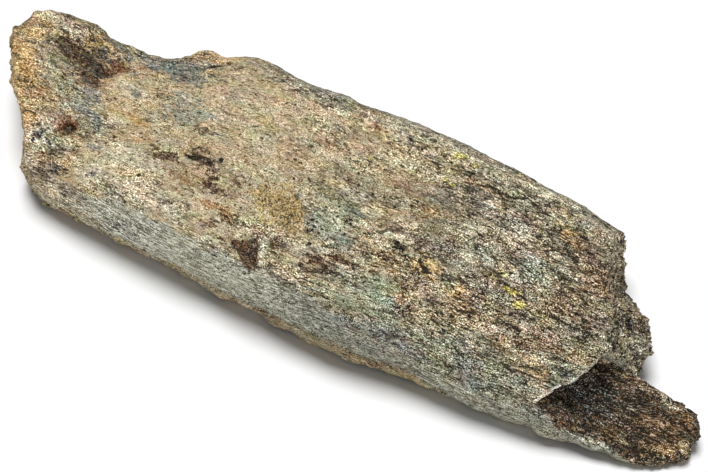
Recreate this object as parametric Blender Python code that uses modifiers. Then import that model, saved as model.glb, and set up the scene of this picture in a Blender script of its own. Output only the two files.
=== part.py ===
"""A section of fossil dinosaur bone, broken at both ends, as one solid piece.

The shaft lies on its flat broken side with its length along X. Its grain runs along X too.
One end is snapped off square and rough. At the other the upper layer has split away and
leaves a thin tongue of inner bone standing out along the front edge.
All sizes are in metres.
"""

import math

import bmesh
import bpy
from mathutils import Vector, noise

COLLECTION = "fossil_bone_section"
HELPERS = "fossil_bone_cutters"
NODE = "bone"

# The shaft at each station along X: where its front and back sides stand, and how high the
# front ridge, the crown and the back edge of the top are.
STATIONS = (
    # x, front y, back y, ridge z, crown z, back edge z
    (-0.140, -0.0218, 0.0275, 0.014, 0.023, 0.022),
    (-0.122, -0.0223, 0.0297, 0.016, 0.025, 0.023),
    (-0.106, -0.0233, 0.0308, 0.017, 0.026, 0.021),
    (-0.092, -0.0245, 0.0340, 0.018, 0.026, 0.016),
    (-0.080, -0.0255, 0.0368, 0.021, 0.026, 0.014),
    (-0.068, -0.0262, 0.0395, 0.022, 0.027, 0.018),
    (-0.054, -0.0277, 0.0435, 0.023, 0.028, 0.021),
    (-0.036, -0.0290, 0.0435, 0.023, 0.029, 0.021),
    (-0.016, -0.0308, 0.0440, 0.022, 0.030, 0.021),
    (0.006, -0.0322, 0.0447, 0.021, 0.030, 0.021),
    (0.030, -0.0303, 0.0420, 0.019, 0.030, 0.021),
    (0.052, -0.0302, 0.0385, 0.016, 0.029, 0.021),
    (0.072, -0.0288, 0.0337, 0.015, 0.028, 0.021),
    (0.090, -0.0269, 0.0300, 0.014, 0.026, 0.020),
    (0.103, -0.0250, 0.0270, 0.013, 0.022, 0.018),
    (0.111, -0.0200, 0.0240, 0.011, 0.019, 0.015),
    (0.120, -0.0080, 0.0180, 0.009, 0.016, 0.012),
)
RINGS_ALONG = 130
POINTS_AROUND = 84

# The snapped end: how far it reaches at each y, and how it leans in below a height.
SNAPPED_END = (
    (-0.0340, -0.0890),
    (-0.0245, -0.0948),
    (-0.0190, -0.1008),
    (-0.0155, -0.1033),
    (-0.0115, -0.1052),
    (-0.0070, -0.1080),
    (-0.0040, -0.1115),
    (-0.0010, -0.1152),
    (0.0035, -0.1172),
    (0.0075, -0.1200),
    (0.0112, -0.1225),
    (0.0152, -0.1250),
    (0.0208, -0.1250),
    (0.0262, -0.1236),
    (0.0300, -0.1190),
    (0.0440, -0.1100),
)
LEAN_HEIGHT = 0.015
LEAN_FRONT = 0.10
LEAN_BACK = 0.30

# The end of the upper layer: its reach at the top edge and at the foot of the lobe, for each y.
LAYER_END_TOP = (
    (-0.018, 0.0830),
    (-0.010, 0.0815),
    (-0.002, 0.0800),
    (0.0065, 0.0775),
    (0.0100, 0.0750),
    (0.0135, 0.0722),
    (0.0180, 0.0702),
    (0.0215, 0.0722),
    (0.0245, 0.0700),
    (0.0300, 0.0683),
    (0.0400, 0.0665),
)
LAYER_END_FOOT = (
    (-0.018, 0.0900),
    (-0.006, 0.0905),
    (0.000, 0.0900),
    (0.008, 0.0893),
    (0.013, 0.0868),
    (0.016, 0.0835),
    (0.021, 0.0770),
    (0.027, 0.0730),
    (0.040, 0.0680),
)
LAYER_TOP_HEIGHT = 0.027
LAYER_FOOT_HEIGHT = 0.011

# The tongue: its back side, its tip, and the height of its broken top along both edges.
TONGUE_BACK = (
    (0.0860, -0.0030),
    (0.0945, -0.0045),
    (0.1010, -0.0056),
    (0.1060, -0.0072),
    (0.1095, -0.0095),
    (0.1140, -0.0140),
)
TONGUE_TIP = (
    (-0.0300, 0.0985),
    (-0.0255, 0.1020),
    (-0.0215, 0.1070),
    (-0.0170, 0.1112),
    (-0.0120, 0.1120),
    (-0.0040, 0.1110),
)
FLOOR_BACK_EDGE = (
    (0.062, 0.0120),
    (0.080, 0.0125),
    (0.095, 0.0118),
    (0.104, 0.0105),
    (0.109, 0.0085),
    (0.114, 0.0060),
)
FLOOR_FRONT_EDGE = (
    (0.062, 0.0155),
    (0.072, 0.0140),
    (0.078, 0.0105),
    (0.085, 0.0072),
    (0.093, 0.0048),
    (0.101, 0.0028),
    (0.114, 0.0018),
)
FLOOR_BACK_Y = -0.006
FLOOR_FRONT_Y = -0.028
FLOOR_DISH = 0.0012

# The broken edge of the upper layer above the tongue, from the front side to the lobe: where the
# edge stands, and the foot of the hollow wall under it on the inner surface.
NOTCH_LIP = (
    # x, y, z
    (0.0640, -0.0350, 0.0130),
    (0.0690, -0.0300, 0.0130),
    (0.0710, -0.0275, 0.0145),
    (0.0725, -0.0262, 0.0172),
    (0.0753, -0.0235, 0.0205),
    (0.0780, -0.0203, 0.0225),
    (0.0801, -0.0150, 0.0232),
    (0.0818, -0.0101, 0.0238),
    (0.0840, -0.0083, 0.0205),
    (0.0862, -0.0068, 0.0178),
    (0.0885, -0.0053, 0.0150),
    (0.0905, -0.0040, 0.0128),
    (0.0930, -0.0015, 0.0125),
)
NOTCH_WALL_FOOT = (
    # x, y
    (0.0630, -0.0350),
    (0.0670, -0.0300),
    (0.0685, -0.0270),
    (0.0695, -0.0240),
    (0.0715, -0.0185),
    (0.0735, -0.0135),
    (0.0752, -0.0080),
    (0.0775, -0.0040),
    (0.0810, -0.0030),
    (0.0845, -0.0027),
    (0.0880, -0.0025),
    (0.0905, -0.0022),
    (0.0930, -0.0010),
)
NOTCH_FLOOR = 0.0115
NOTCH_HOLLOW = 0.6
NOTCH_FAR = ((0.100, -0.080), (0.180, -0.020))

# Dents and hollows in the top and sides: centre, half sizes and depth.
DENTS = {
    "dark_hollow": ((-0.0970, 0.0185, 0.024), (0.0150, 0.0090, 0.010), 0.0034),
    "hollow_tail": ((-0.0910, 0.0110, 0.024), (0.0060, 0.0070, 0.010), 0.0016),
    "red_pit": ((-0.0895, -0.0080, 0.023), (0.0034, 0.0032, 0.006), 0.0034),
    "brown_scar": ((-0.0920, -0.0170, 0.018), (0.0065, 0.0050, 0.006), 0.0014),
    "end_crease": ((-0.1060, 0.0040, 0.022), (0.0030, 0.0110, 0.008), 0.0013),
    "grey_swale": ((-0.0600, 0.0090, 0.027), (0.0080, 0.0110, 0.010), 0.0014),
    "valley": ((-0.0850, 0.0295, 0.019), (0.0150, 0.0080, 0.012), 0.0024),
    "valley_head": ((-0.0690, 0.0240, 0.023), (0.0095, 0.0070, 0.010), 0.0026),
    "slit": ((-0.0475, -0.0035, 0.028), (0.0052, 0.0013, 0.006), 0.0020),
    "slit_hole": ((-0.0425, -0.0010, 0.028), (0.0017, 0.0014, 0.006), 0.0026),
    "brown_groove": ((-0.0440, -0.0100, 0.028), (0.0080, 0.0022, 0.006), 0.0012),
    "chip": ((-0.0235, -0.0225, 0.025), (0.0062, 0.0048, 0.008), 0.0024),
    "chip_tail": ((-0.0120, -0.0210, 0.027), (0.0080, 0.0028, 0.008), 0.0010),
    "dark_spot": ((0.0170, -0.0060, 0.030), (0.0024, 0.0016, 0.006), 0.0016),
    "lobe_pit": ((0.0850, 0.0065, 0.018), (0.0040, 0.0042, 0.005), 0.0028),
    "lobe_gap": ((0.0800, 0.0190, 0.020), (0.0030, 0.0026, 0.008), 0.0022),
    "back_groove": ((0.0300, 0.0385, 0.021), (0.0300, 0.0030, 0.006), 0.0010),
}

# Swellings: centre, half sizes and height.
SWELLINGS = {
    "corner_ridge": ((-0.1060, 0.0270, 0.024), (0.0150, 0.0045, 0.010), 0.0026),
    "left_boss": ((-0.0790, 0.0100, 0.026), (0.0120, 0.0080, 0.012), 0.0014),
    "shelf_knob": ((-0.0680, 0.0350, 0.022), (0.0075, 0.0040, 0.008), 0.0022),
    "end_nub": ((0.0750, 0.0215, 0.021), (0.0030, 0.0024, 0.004), 0.0020),
    "tongue_rim": ((0.1000, -0.0075, 0.012), (0.0080, 0.0018, 0.004), 0.0006),
    "front_swell": ((-0.0420, -0.0230, 0.024), (0.0220, 0.0060, 0.010), 0.0008),
}

# The patch of sandy crust on the top.
CRUST_CENTRE = (-0.0205, -0.0075)
CRUST_REACH = (0.0092, 0.0078)
CRUST_HEIGHT = 0.0011

# The thin layer that stands proud of the back shoulder, between two places along X.
LEDGE_SPAN = (-0.042, 0.034)
LEDGE_LINE_Y = 0.0352
LEDGE_STEP = 0.0013

# The rough rim along the foot of the front side.
RIM_HEIGHT = 0.0052
RIM_PROUD = 0.0006

# Noise: how long each kind of unevenness is, and how high.
LUMP_LENGTH = 0.021
LUMP_HEIGHT = 0.00055
KNOB_LENGTH = 0.0085
KNOB_HEIGHT = 0.00024
GRAIN_STRETCH = 6.0
GRAIN_WIDTH = 0.0034
GRAIN_HEIGHT = 0.00016
BREAK_LENGTH = 0.0046
BREAK_HEIGHT = 0.00065
UNDER_LENGTH = 0.016
UNDER_DEPTH = 0.0042
UNDER_FLAT_SHARE = 0.12

VOXEL = 0.0011
TRIANGLES = 9400
REST_SNAP = 0.00035

CORTEX_COLOUR = (0.29, 0.25, 0.175, 1.0)
CORTEX_ROUGHNESS = 0.82


def through(points, t):
    """The height at t of a smooth curve through points, held level past both ends."""
    if t <= points[0][0]:
        return points[0][1]
    if t >= points[-1][0]:
        return points[-1][1]
    i = max(k for k in range(len(points) - 1) if points[k][0] <= t)
    (x0, y0), (x1, y1) = points[i], points[i + 1]
    before = points[max(i - 1, 0)]
    after = points[min(i + 2, len(points) - 1)]
    start = (y1 - before[1]) / (x1 - before[0])
    end = (after[1] - y0) / (after[0] - x0)
    width = x1 - x0
    s = (t - x0) / width
    return (
        (2 * s**3 - 3 * s**2 + 1) * y0
        + (s**3 - 2 * s**2 + s) * width * start
        + (3 * s**2 - 2 * s**3) * y1
        + (s**3 - s**2) * width * end
    )


def smoothstep(low, high, value):
    """0 below low, 1 above high, and an S between them."""
    s = min(1.0, max(0.0, (value - low) / (high - low)))
    return s * s * (3 - 2 * s)


def mix(a, b, share):
    return a + (b - a) * share


def rough(point, length, seed, stretch=1.0):
    """Noise from about -1 to 1 with features of that length, drawn out along X by stretch."""
    where = Vector((point.x / stretch, point.y, point.z)) / length
    return 1.6 * noise.fractal(where + Vector((seed * 7.3, seed * 3.1, seed * 5.7)), 0.7, 2.1, 3)


def station(x):
    """Front y, back y, ridge z, crown z and back edge z of the shaft at x."""
    return [through([(row[0], row[k]) for row in STATIONS], x) for k in range(1, 6)]


def section(x):
    """The corner points of the shaft's cross section at x, from the foot at the front round."""
    front, back, ridge, crown, edge = station(x)
    width = back - front
    return [
        (front + 0.009, 0.0),
        (front + 0.0016, 0.0012),
        (front + 0.0006, 0.30 * ridge),
        (front, 0.60 * ridge),
        (front + 0.0014, 0.90 * ridge),
        (front + 0.0060, mix(ridge, crown, 0.40)),
        (front + 0.34 * width, mix(ridge, crown, 0.93)),
        (front + 0.60 * width, crown),
        (back - 0.0110, mix(edge, crown, 0.80)),
        (back - 0.0036, edge + 0.0016),
        (back, edge - 0.0036),
        (back - 0.0012, 0.42 * edge),
        (back - 0.0040, 0.10 * edge),
        (back - 0.0120, 0.0),
    ]


def around(corners, t):
    """The point at t, from 0 to 1, of a closed curve through the corners."""
    count = len(corners)
    place = (t % 1.0) * count
    i = int(place)
    s = place - i
    a, b, c, d = (corners[(i + k) % count] for k in (-1, 0, 1, 2))
    return [
        0.5 * (2 * b[k] + (c[k] - a[k]) * s + (2 * a[k] - 5 * b[k] + 4 * c[k] - d[k]) * s**2
               + (3 * b[k] - a[k] - 3 * c[k] + d[k]) * s**3)
        for k in (0, 1)
    ]


def new_object(name, bm, collection):
    """Makes an object of the bmesh in that collection."""
    mesh = bpy.data.meshes.new(name)
    bm.to_mesh(mesh)
    bm.free()
    obj = bpy.data.objects.new(name, mesh)
    collection.objects.link(obj)
    return obj


def make_shaft(collection):
    """The whole shaft as a grid rolled round its sections, longer than the finished bone."""
    bm = bmesh.new()
    bmesh.ops.create_grid(bm, x_segments=RINGS_ALONG, y_segments=POINTS_AROUND, size=0.5)
    first, last = STATIONS[0][0], STATIONS[-1][0]
    rings = {}
    for vert in bm.verts:
        x = mix(first, last, vert.co.x + 0.5)
        key = round(x, 6)
        if key not in rings:
            rings[key] = section(x)
        y, z = around(rings[key], vert.co.y + 0.5)
        vert.co = (x, y, max(z, 0.0))
    bmesh.ops.remove_doubles(bm, verts=bm.verts[:], dist=1e-6)
    bmesh.ops.holes_fill(bm, edges=[e for e in bm.edges if e.is_boundary], sides=0)
    bmesh.ops.recalc_face_normals(bm, faces=bm.faces[:])
    return new_object(NODE, bm, collection)


def make_cutter(name, cuts, collection, place):
    """A block of grid faces whose points stand where place puts their three shares from 0 to 1."""
    bm = bmesh.new()
    bmesh.ops.create_cube(bm, size=1.0)
    bmesh.ops.subdivide_edges(bm, edges=bm.edges[:], cuts=cuts, use_grid_fill=True)
    for vert in bm.verts:
        vert.co = place(*(vert.co + Vector((0.5, 0.5, 0.5))))
    bmesh.ops.recalc_face_normals(bm, faces=bm.faces[:])
    cutter = new_object(name, bm, collection)
    cutter.hide_render = True
    cutter.display_type = "WIRE"
    return cutter


def snapped_end_x(y, z):
    """Where the snapped end stands at y and z."""
    lean = max(0.0, LEAN_HEIGHT - z) * mix(LEAN_FRONT, LEAN_BACK, smoothstep(-0.02, 0.015, y))
    place = Vector((0.0, y, z))
    bumps = 0.0014 * rough(place, 0.011, 1) + 0.0006 * rough(place, 0.004, 10)
    return through(SNAPPED_END, y) + lean + bumps


def layer_end_x(y, z):
    """Where the upper layer ends at y and z."""
    top, foot = through(LAYER_END_TOP, y), through(LAYER_END_FOOT, y)
    reach = mix(foot, top, smoothstep(LAYER_FOOT_HEIGHT, LAYER_TOP_HEIGHT, z))
    under = 0.55 * max(0.0, 0.008 - z)
    return reach - under + 0.0009 * rough(Vector((0.0, y, z)), 0.007, 2)


def tongue_back_y(x, z):
    """Where the back side of the tongue stands at x and z."""
    lean = 0.12 * max(0.0, 0.010 - z)
    return through(TONGUE_BACK, x) - lean + 0.0006 * rough(Vector((x, 0.0, z)), 0.006, 3)


def tongue_tip_x(y, z):
    """Where the tongue's tip ends at y and z."""
    return through(TONGUE_TIP, y) + 0.0008 * rough(Vector((0.0, y, z)), 0.005, 4)


def floor_z(x, y):
    """The height of the broken inner surface, the top of the tongue."""
    across = min(1.0, max(0.0, (y - FLOOR_FRONT_Y) / (FLOOR_BACK_Y - FLOOR_FRONT_Y)))
    level = mix(through(FLOOR_FRONT_EDGE, x), through(FLOOR_BACK_EDGE, x), across)
    dish = FLOOR_DISH * math.sin(math.pi * across)
    return level - dish + 0.0006 * rough(Vector((x, y, 0.0)), 0.006, 5, 3.0)


def along_rows(rows, t, column):
    """One column of the rows at t, from 0 at the first row to 1 at the last."""
    return through([(k / (len(rows) - 1), row[column]) for k, row in enumerate(rows)], t)


def notch_wall(t, z):
    """Where the hollow wall under the upper layer's edge stands, at t along it and height z."""
    lip = [along_rows(NOTCH_LIP, t, k) for k in range(3)]
    foot = [along_rows(NOTCH_WALL_FOOT, t, k) for k in range(2)]
    fall = (lip[2] - z) / max(lip[2] - NOTCH_FLOOR, 1e-4)
    share = min(1.0, max(0.0, fall)) ** NOTCH_HOLLOW
    return mix(lip[0], foot[0], share), mix(lip[1], foot[1], share)


def snapped_end_block(i, j, k):
    """Takes away everything past the snapped end."""
    y, z = mix(-0.06, 0.07, j), mix(-0.02, 0.06, k)
    return mix(-0.20, snapped_end_x(y, z), i), y, z


def layer_end_block(i, j, k):
    """Takes away everything past the upper layer's end, behind the tongue."""
    x, z = mix(0.06, 0.16, i), mix(-0.02, 0.06, k)
    y = mix(tongue_back_y(max(x, 0.086), z), 0.07, j)
    return mix(layer_end_x(y, z), 0.16, i), y, z


def lobe_face_block(i, j, k):
    """Takes away what stands past the lobe's sloping face, down to the inner surface."""
    x, y = mix(0.075, 0.16, i), mix(-0.019, 0.002, j)
    z = mix(floor_z(x, y), 0.06, k)
    return mix(layer_end_x(y, z), 0.16, i), y, z


def notch_block(i, j, k):
    """Takes away the upper layer over the tongue, and hollows the wall under its broken edge."""
    height = mix(NOTCH_FLOOR, 0.06, k)
    x, y = notch_wall(j, height)
    far_x, far_y = (mix(NOTCH_FAR[0][a], NOTCH_FAR[1][a], j) for a in (0, 1))
    x, y = mix(x, far_x, i), mix(y, far_y, i)
    return x, y, mix(floor_z(x, y), 0.06, k)


def tongue_tip_block(i, j, k):
    """Takes away everything past the tongue's tip."""
    y, z = mix(-0.06, 0.02, j), mix(-0.02, 0.04, k)
    return mix(tongue_tip_x(y, z), 0.16, i), y, z


def make_cutters(collection):
    """The blocks that break the shaft's ends."""
    return [
        make_cutter("snapped_end", 44, collection, snapped_end_block),
        make_cutter("layer_end", 44, collection, layer_end_block),
        make_cutter("lobe_face", 44, collection, lobe_face_block),
        make_cutter("notch", 48, collection, notch_block),
        make_cutter("tongue_tip", 30, collection, tongue_tip_block),
    ]


def bump(point, centre, reach):
    """1 at the centre of an oval region, falling smoothly to 0 at its edge, which is uneven."""
    offset = [(point[k] - centre[k]) / reach[k] for k in range(3)]
    distance = math.sqrt(sum(o * o for o in offset))
    if distance > 1.6:
        return 0.0
    distance += 0.16 * rough(point, 0.006, 8)
    return 1.0 - smoothstep(0.35, 1.0, distance)


def crust_share(point):
    """1 on the patch of sandy crust and 0 off it, with an uneven edge."""
    across = [(point[k] - CRUST_CENTRE[k]) / CRUST_REACH[k] for k in (0, 1)]
    distance = math.hypot(*across) + 0.30 * rough(point, 0.006, 9)
    return 1.0 - smoothstep(0.82, 1.0, distance)


def on_inner_bone(point):
    """1 on the broken surface above the tongue and 0 elsewhere."""
    foot_x = through([(row[1], row[0]) for row in NOTCH_WALL_FOOT[:8]], point.y)
    past_edge = smoothstep(0.0, 0.003, point.x - foot_x + 0.001)
    below_layer = 1.0 - smoothstep(0.016, 0.019, point.z)
    return past_edge * below_layer * (1.0 - smoothstep(-0.004, 0.0, point.y))


def relief(point, normal):
    """How far the surface moves out along its normal at a point."""
    top = smoothstep(0.25, 0.7, normal.z)
    side = 1.0 - abs(normal.x)
    end = smoothstep(0.45, 0.8, abs(normal.x))
    inner = on_inner_bone(point)
    out = LUMP_HEIGHT * rough(point, LUMP_LENGTH, 11, 1.8)
    out += KNOB_HEIGHT * rough(point, KNOB_LENGTH, 12, 1.5)
    out += GRAIN_HEIGHT * (side + 0.9 * inner) * rough(point, GRAIN_WIDTH, 13, GRAIN_STRETCH)
    out += BREAK_HEIGHT * max(end, 0.5 * inner) * rough(point, BREAK_LENGTH, 14)
    for centre, reach, depth in DENTS.values():
        out -= depth * bump(point, centre, reach)
    for centre, reach, height in SWELLINGS.values():
        out += height * bump(point, centre, reach)
    out += top * crust_share(point) * CRUST_HEIGHT * (1.0 + 0.5 * rough(point, 0.003, 15))
    along = smoothstep(LEDGE_SPAN[0] - 0.004, LEDGE_SPAN[0], point.x) * (
        1.0 - smoothstep(LEDGE_SPAN[1] - 0.012, LEDGE_SPAN[1], point.x)
    )
    line = LEDGE_LINE_Y + 0.0012 * rough(point, 0.012, 16) - 0.00008 * (point.x + 0.005) / 0.001
    past_ledge = smoothstep(0.0, 0.0012, point.y - line)
    out -= LEDGE_STEP * along * past_ledge * smoothstep(0.1, 0.4, normal.z)
    front = smoothstep(0.3, 0.8, -normal.y)
    height = point.z + 0.0012 * rough(point, 0.009, 17)
    in_rim = 1.0 - smoothstep(RIM_HEIGHT - 0.0010, RIM_HEIGHT + 0.0006, height)
    out += front * in_rim * RIM_PROUD * (0.7 + 0.9 * rough(point, 0.0065, 18))
    return out


def under_height(point):
    """How high the broken underside stands off the ground, 0 where it rests."""
    hollow = rough(Vector((point.x, point.y, 0.0)), UNDER_LENGTH, 19, 1.7) - UNDER_FLAT_SHARE
    ripple = 0.25 * rough(Vector((point.x, point.y, 0.0)), 0.0045, 20, 2.5)
    return max(0.0, UNDER_DEPTH * (hollow + ripple * smoothstep(0.0, 0.3, hollow)))


def shape_surface(mesh):
    """Gives the plain broken shaft its lumps, grain, dents and ledges, and its uneven underside."""
    moved = []
    for vert in mesh.vertices:
        point, normal = vert.co.copy(), vert.normal.copy()
        place = point + normal * relief(point, normal)
        under = smoothstep(0.55, 0.9, -normal.z) * (1.0 - smoothstep(0.0015, 0.004, point.z))
        place.z = mix(place.z, under_height(point), under)
        moved.append(place)
    for vert, place in zip(mesh.vertices, moved):
        vert.co = (place.x, place.y, max(place.z, 0.0))


def applied(obj, name):
    """A new mesh of the object with its modifiers done."""
    bpy.context.view_layer.update()
    graph = bpy.context.evaluated_depsgraph_get()
    mesh = bpy.data.meshes.new_from_object(obj.evaluated_get(graph))
    mesh.name = name
    obj.modifiers.clear()
    obj.data = mesh
    return mesh


def centre_on_base(mesh):
    """Moves the mesh so that the middle of its box is over the origin and it stands on z 0."""
    for vert in mesh.vertices:
        if vert.co.z < REST_SNAP:
            vert.co.z = 0.0
    low = [min(v.co[k] for v in mesh.vertices) for k in range(3)]
    high = [max(v.co[k] for v in mesh.vertices) for k in range(3)]
    shift = Vector(((low[0] + high[0]) / 2, (low[1] + high[1]) / 2, low[2]))
    for vert in mesh.vertices:
        vert.co -= shift
    print("moved by", tuple(round(-s, 5) for s in shift))


def bone_material():
    """The weathered outer bone: a dull greyish tan."""
    material = bpy.data.materials.new("weathered_bone")
    material.use_nodes = True
    shader = material.node_tree.nodes["Principled BSDF"]
    shader.inputs["Base Color"].default_value = CORTEX_COLOUR
    shader.inputs["Roughness"].default_value = CORTEX_ROUGHNESS
    shader.inputs["Metallic"].default_value = 0.0
    return material


def main():
    for obj in list(bpy.data.objects):
        bpy.data.objects.remove(obj)
    parts = bpy.data.collections.new(COLLECTION)
    helpers = bpy.data.collections.new(HELPERS)
    for collection in (parts, helpers):
        bpy.context.scene.collection.children.link(collection)

    bone = make_shaft(parts)
    for cutter in make_cutters(helpers):
        cut = bone.modifiers.new(cutter.name, "BOOLEAN")
        cut.operation = "DIFFERENCE"
        cut.object = cutter
    skin = bone.modifiers.new("even_skin", "REMESH")
    skin.mode = "VOXEL"
    skin.voxel_size = VOXEL
    shape_surface(applied(bone, "bone_skin"))

    thin = bone.modifiers.new("fewer_faces", "DECIMATE")
    faces = sum(len(p.vertices) - 2 for p in bone.data.polygons)
    thin.ratio = TRIANGLES / faces
    thin.use_collapse_triangulate = True
    centre_on_base(applied(bone, "bone"))
    bone.data.materials.clear()
    bone.data.materials.append(bone_material())
    bone.data.shade_smooth()


main()
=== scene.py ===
"""The looks of a section of fossil dinosaur bone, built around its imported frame.

The bone is one natural piece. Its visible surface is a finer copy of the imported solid, with the
fibres, pores, pits and crumbled ends that the solid is too coarse for. A thin patch of sandy
crust lies on its top as a second piece, made of single grains.
Lengths in the tables are in mm, in the drawing's own place, which DRAWN_AT puts in the frame.
"""

import logging
import math
import random
from dataclasses import dataclass, field
from enum import Enum
from functools import cached_property
from itertools import product
from typing import Any, ClassVar

import bmesh
import bpy
import numpy as np
from mathutils import Euler, Matrix, Vector, noise
from mathutils.bvhtree import BVHTree


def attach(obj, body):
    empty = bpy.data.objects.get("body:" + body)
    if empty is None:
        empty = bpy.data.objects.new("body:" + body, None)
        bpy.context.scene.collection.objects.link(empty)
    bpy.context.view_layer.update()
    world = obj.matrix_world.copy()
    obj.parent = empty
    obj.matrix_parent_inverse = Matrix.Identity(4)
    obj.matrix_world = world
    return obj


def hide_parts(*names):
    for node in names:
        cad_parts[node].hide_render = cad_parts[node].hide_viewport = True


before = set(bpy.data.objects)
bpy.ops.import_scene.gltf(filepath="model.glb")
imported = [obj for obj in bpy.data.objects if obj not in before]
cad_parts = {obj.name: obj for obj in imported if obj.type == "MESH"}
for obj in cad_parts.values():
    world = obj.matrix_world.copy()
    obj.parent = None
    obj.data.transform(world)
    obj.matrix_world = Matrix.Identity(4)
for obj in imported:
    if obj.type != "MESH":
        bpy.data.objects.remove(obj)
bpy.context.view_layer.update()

LOG = logging.getLogger("fossil_bone")

MM = 0.001
# the power that turns light into steps that look even
EYE = 2.2
# where the drawing's origin stands in the frame, in mm
DRAWN_AT = (6.62, -6.07, 0.0)

Colour = tuple[float, float, float]
Place = tuple[float, float, float]
# a line through points, as the places along it and then the levels there
Line = tuple[tuple[float, ...], ...]


class Tone(Enum):
    """The colours of weathered bone: the main one, the flecks in it, and how much of it they take."""

    OCHRE = ((0.455, 0.308, 0.134), (0.235, 0.132, 0.050), 0.27)
    AMBER = ((0.380, 0.225, 0.080), (0.180, 0.090, 0.034), 0.30)
    STRAW = ((0.500, 0.430, 0.285), (0.235, 0.180, 0.112), 0.26)
    CLAY = ((0.455, 0.368, 0.225), (0.270, 0.180, 0.100), 0.22)
    TAN = ((0.430, 0.362, 0.225), (0.195, 0.142, 0.075), 0.28)
    DRIFT = ((0.250, 0.214, 0.135), (0.105, 0.077, 0.041), 0.34)
    ASH = ((0.268, 0.255, 0.176), (0.115, 0.104, 0.072), 0.32)
    MOSS = ((0.305, 0.315, 0.205), (0.135, 0.140, 0.092), 0.30)
    SLATE = ((0.174, 0.169, 0.127), (0.074, 0.071, 0.054), 0.34)
    FROST = ((0.318, 0.311, 0.237), (0.186, 0.182, 0.143), 0.28)
    PALE = ((0.500, 0.455, 0.320), (0.300, 0.240, 0.150), 0.22)
    # a pale broken edge with a painted highlight
    LIT_EDGE = ((0.680, 0.650, 0.540), (0.500, 0.460, 0.360), 0.12)
    RUST = ((0.300, 0.200, 0.105), (0.130, 0.070, 0.034), 0.36)
    EMBER = ((0.185, 0.078, 0.034), (0.080, 0.034, 0.018), 0.36)
    UMBER = ((0.105, 0.067, 0.035), (0.046, 0.029, 0.014), 0.38)
    SOOT = ((0.034, 0.028, 0.019), (0.015, 0.012, 0.009), 0.38)
    LIME = ((0.400, 0.340, 0.085), (0.220, 0.180, 0.050), 0.25)

    @property
    def main(self) -> Colour:
        """The colour between the flecks."""
        return self.value[0]

    @property
    def fleck(self) -> Colour:
        """The colour of the flecks."""
        return self.value[1]

    @property
    def share(self) -> float:
        """The share of the surface that the flecks take."""
        return self.value[2]


@dataclass(frozen=True)
class Oval:
    """An oval place on the surface, with a length along its own line and a width across it."""

    centre: Place
    along: float
    across: float
    turn: float

    def distance(self, points: np.ndarray) -> np.ndarray:
        """How far each point is from the centre.

        Args:
            points: the places of the points, in mm.

        Returns:
            0 at the centre and 1 at the oval's edge, for each point.
        """
        turn = math.radians(self.turn)
        line = np.array((math.cos(turn), math.sin(turn), 0.0))
        offset = points - np.array(self.centre)
        run = offset @ line
        rest = np.maximum((offset * offset).sum(1) - run * run, 0.0)
        return np.sqrt((run / self.along) ** 2 + rest / self.across**2)


@dataclass(frozen=True)
class Patch(Oval):
    """An oval of one colour."""

    tone: Tone
    cover: float
    edge: float = 0.35

    def share(self, points: np.ndarray, ragged: np.ndarray) -> np.ndarray:
        """How much of each point the patch takes.

        Args:
            points: the places of the points, in mm.
            ragged: noise from about -1 to 1 at each point, which breaks the patch's edge.

        Returns:
            A share from 0 to cover for each point.
        """
        distance = self.distance(points) + 0.55 * ragged
        return self.cover * (1.0 - smooth(1.0 - self.edge, 1.0 + self.edge, distance))


@dataclass(frozen=True)
class Swell(Oval):
    """An oval where the surface stands out by a height, or lies in where that is below 0."""

    height: float

    def move(self, points: np.ndarray) -> np.ndarray:
        """How far each point moves out, in mm."""
        return self.height * (1.0 - smooth(0.25, 1.0, self.distance(points)))


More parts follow.
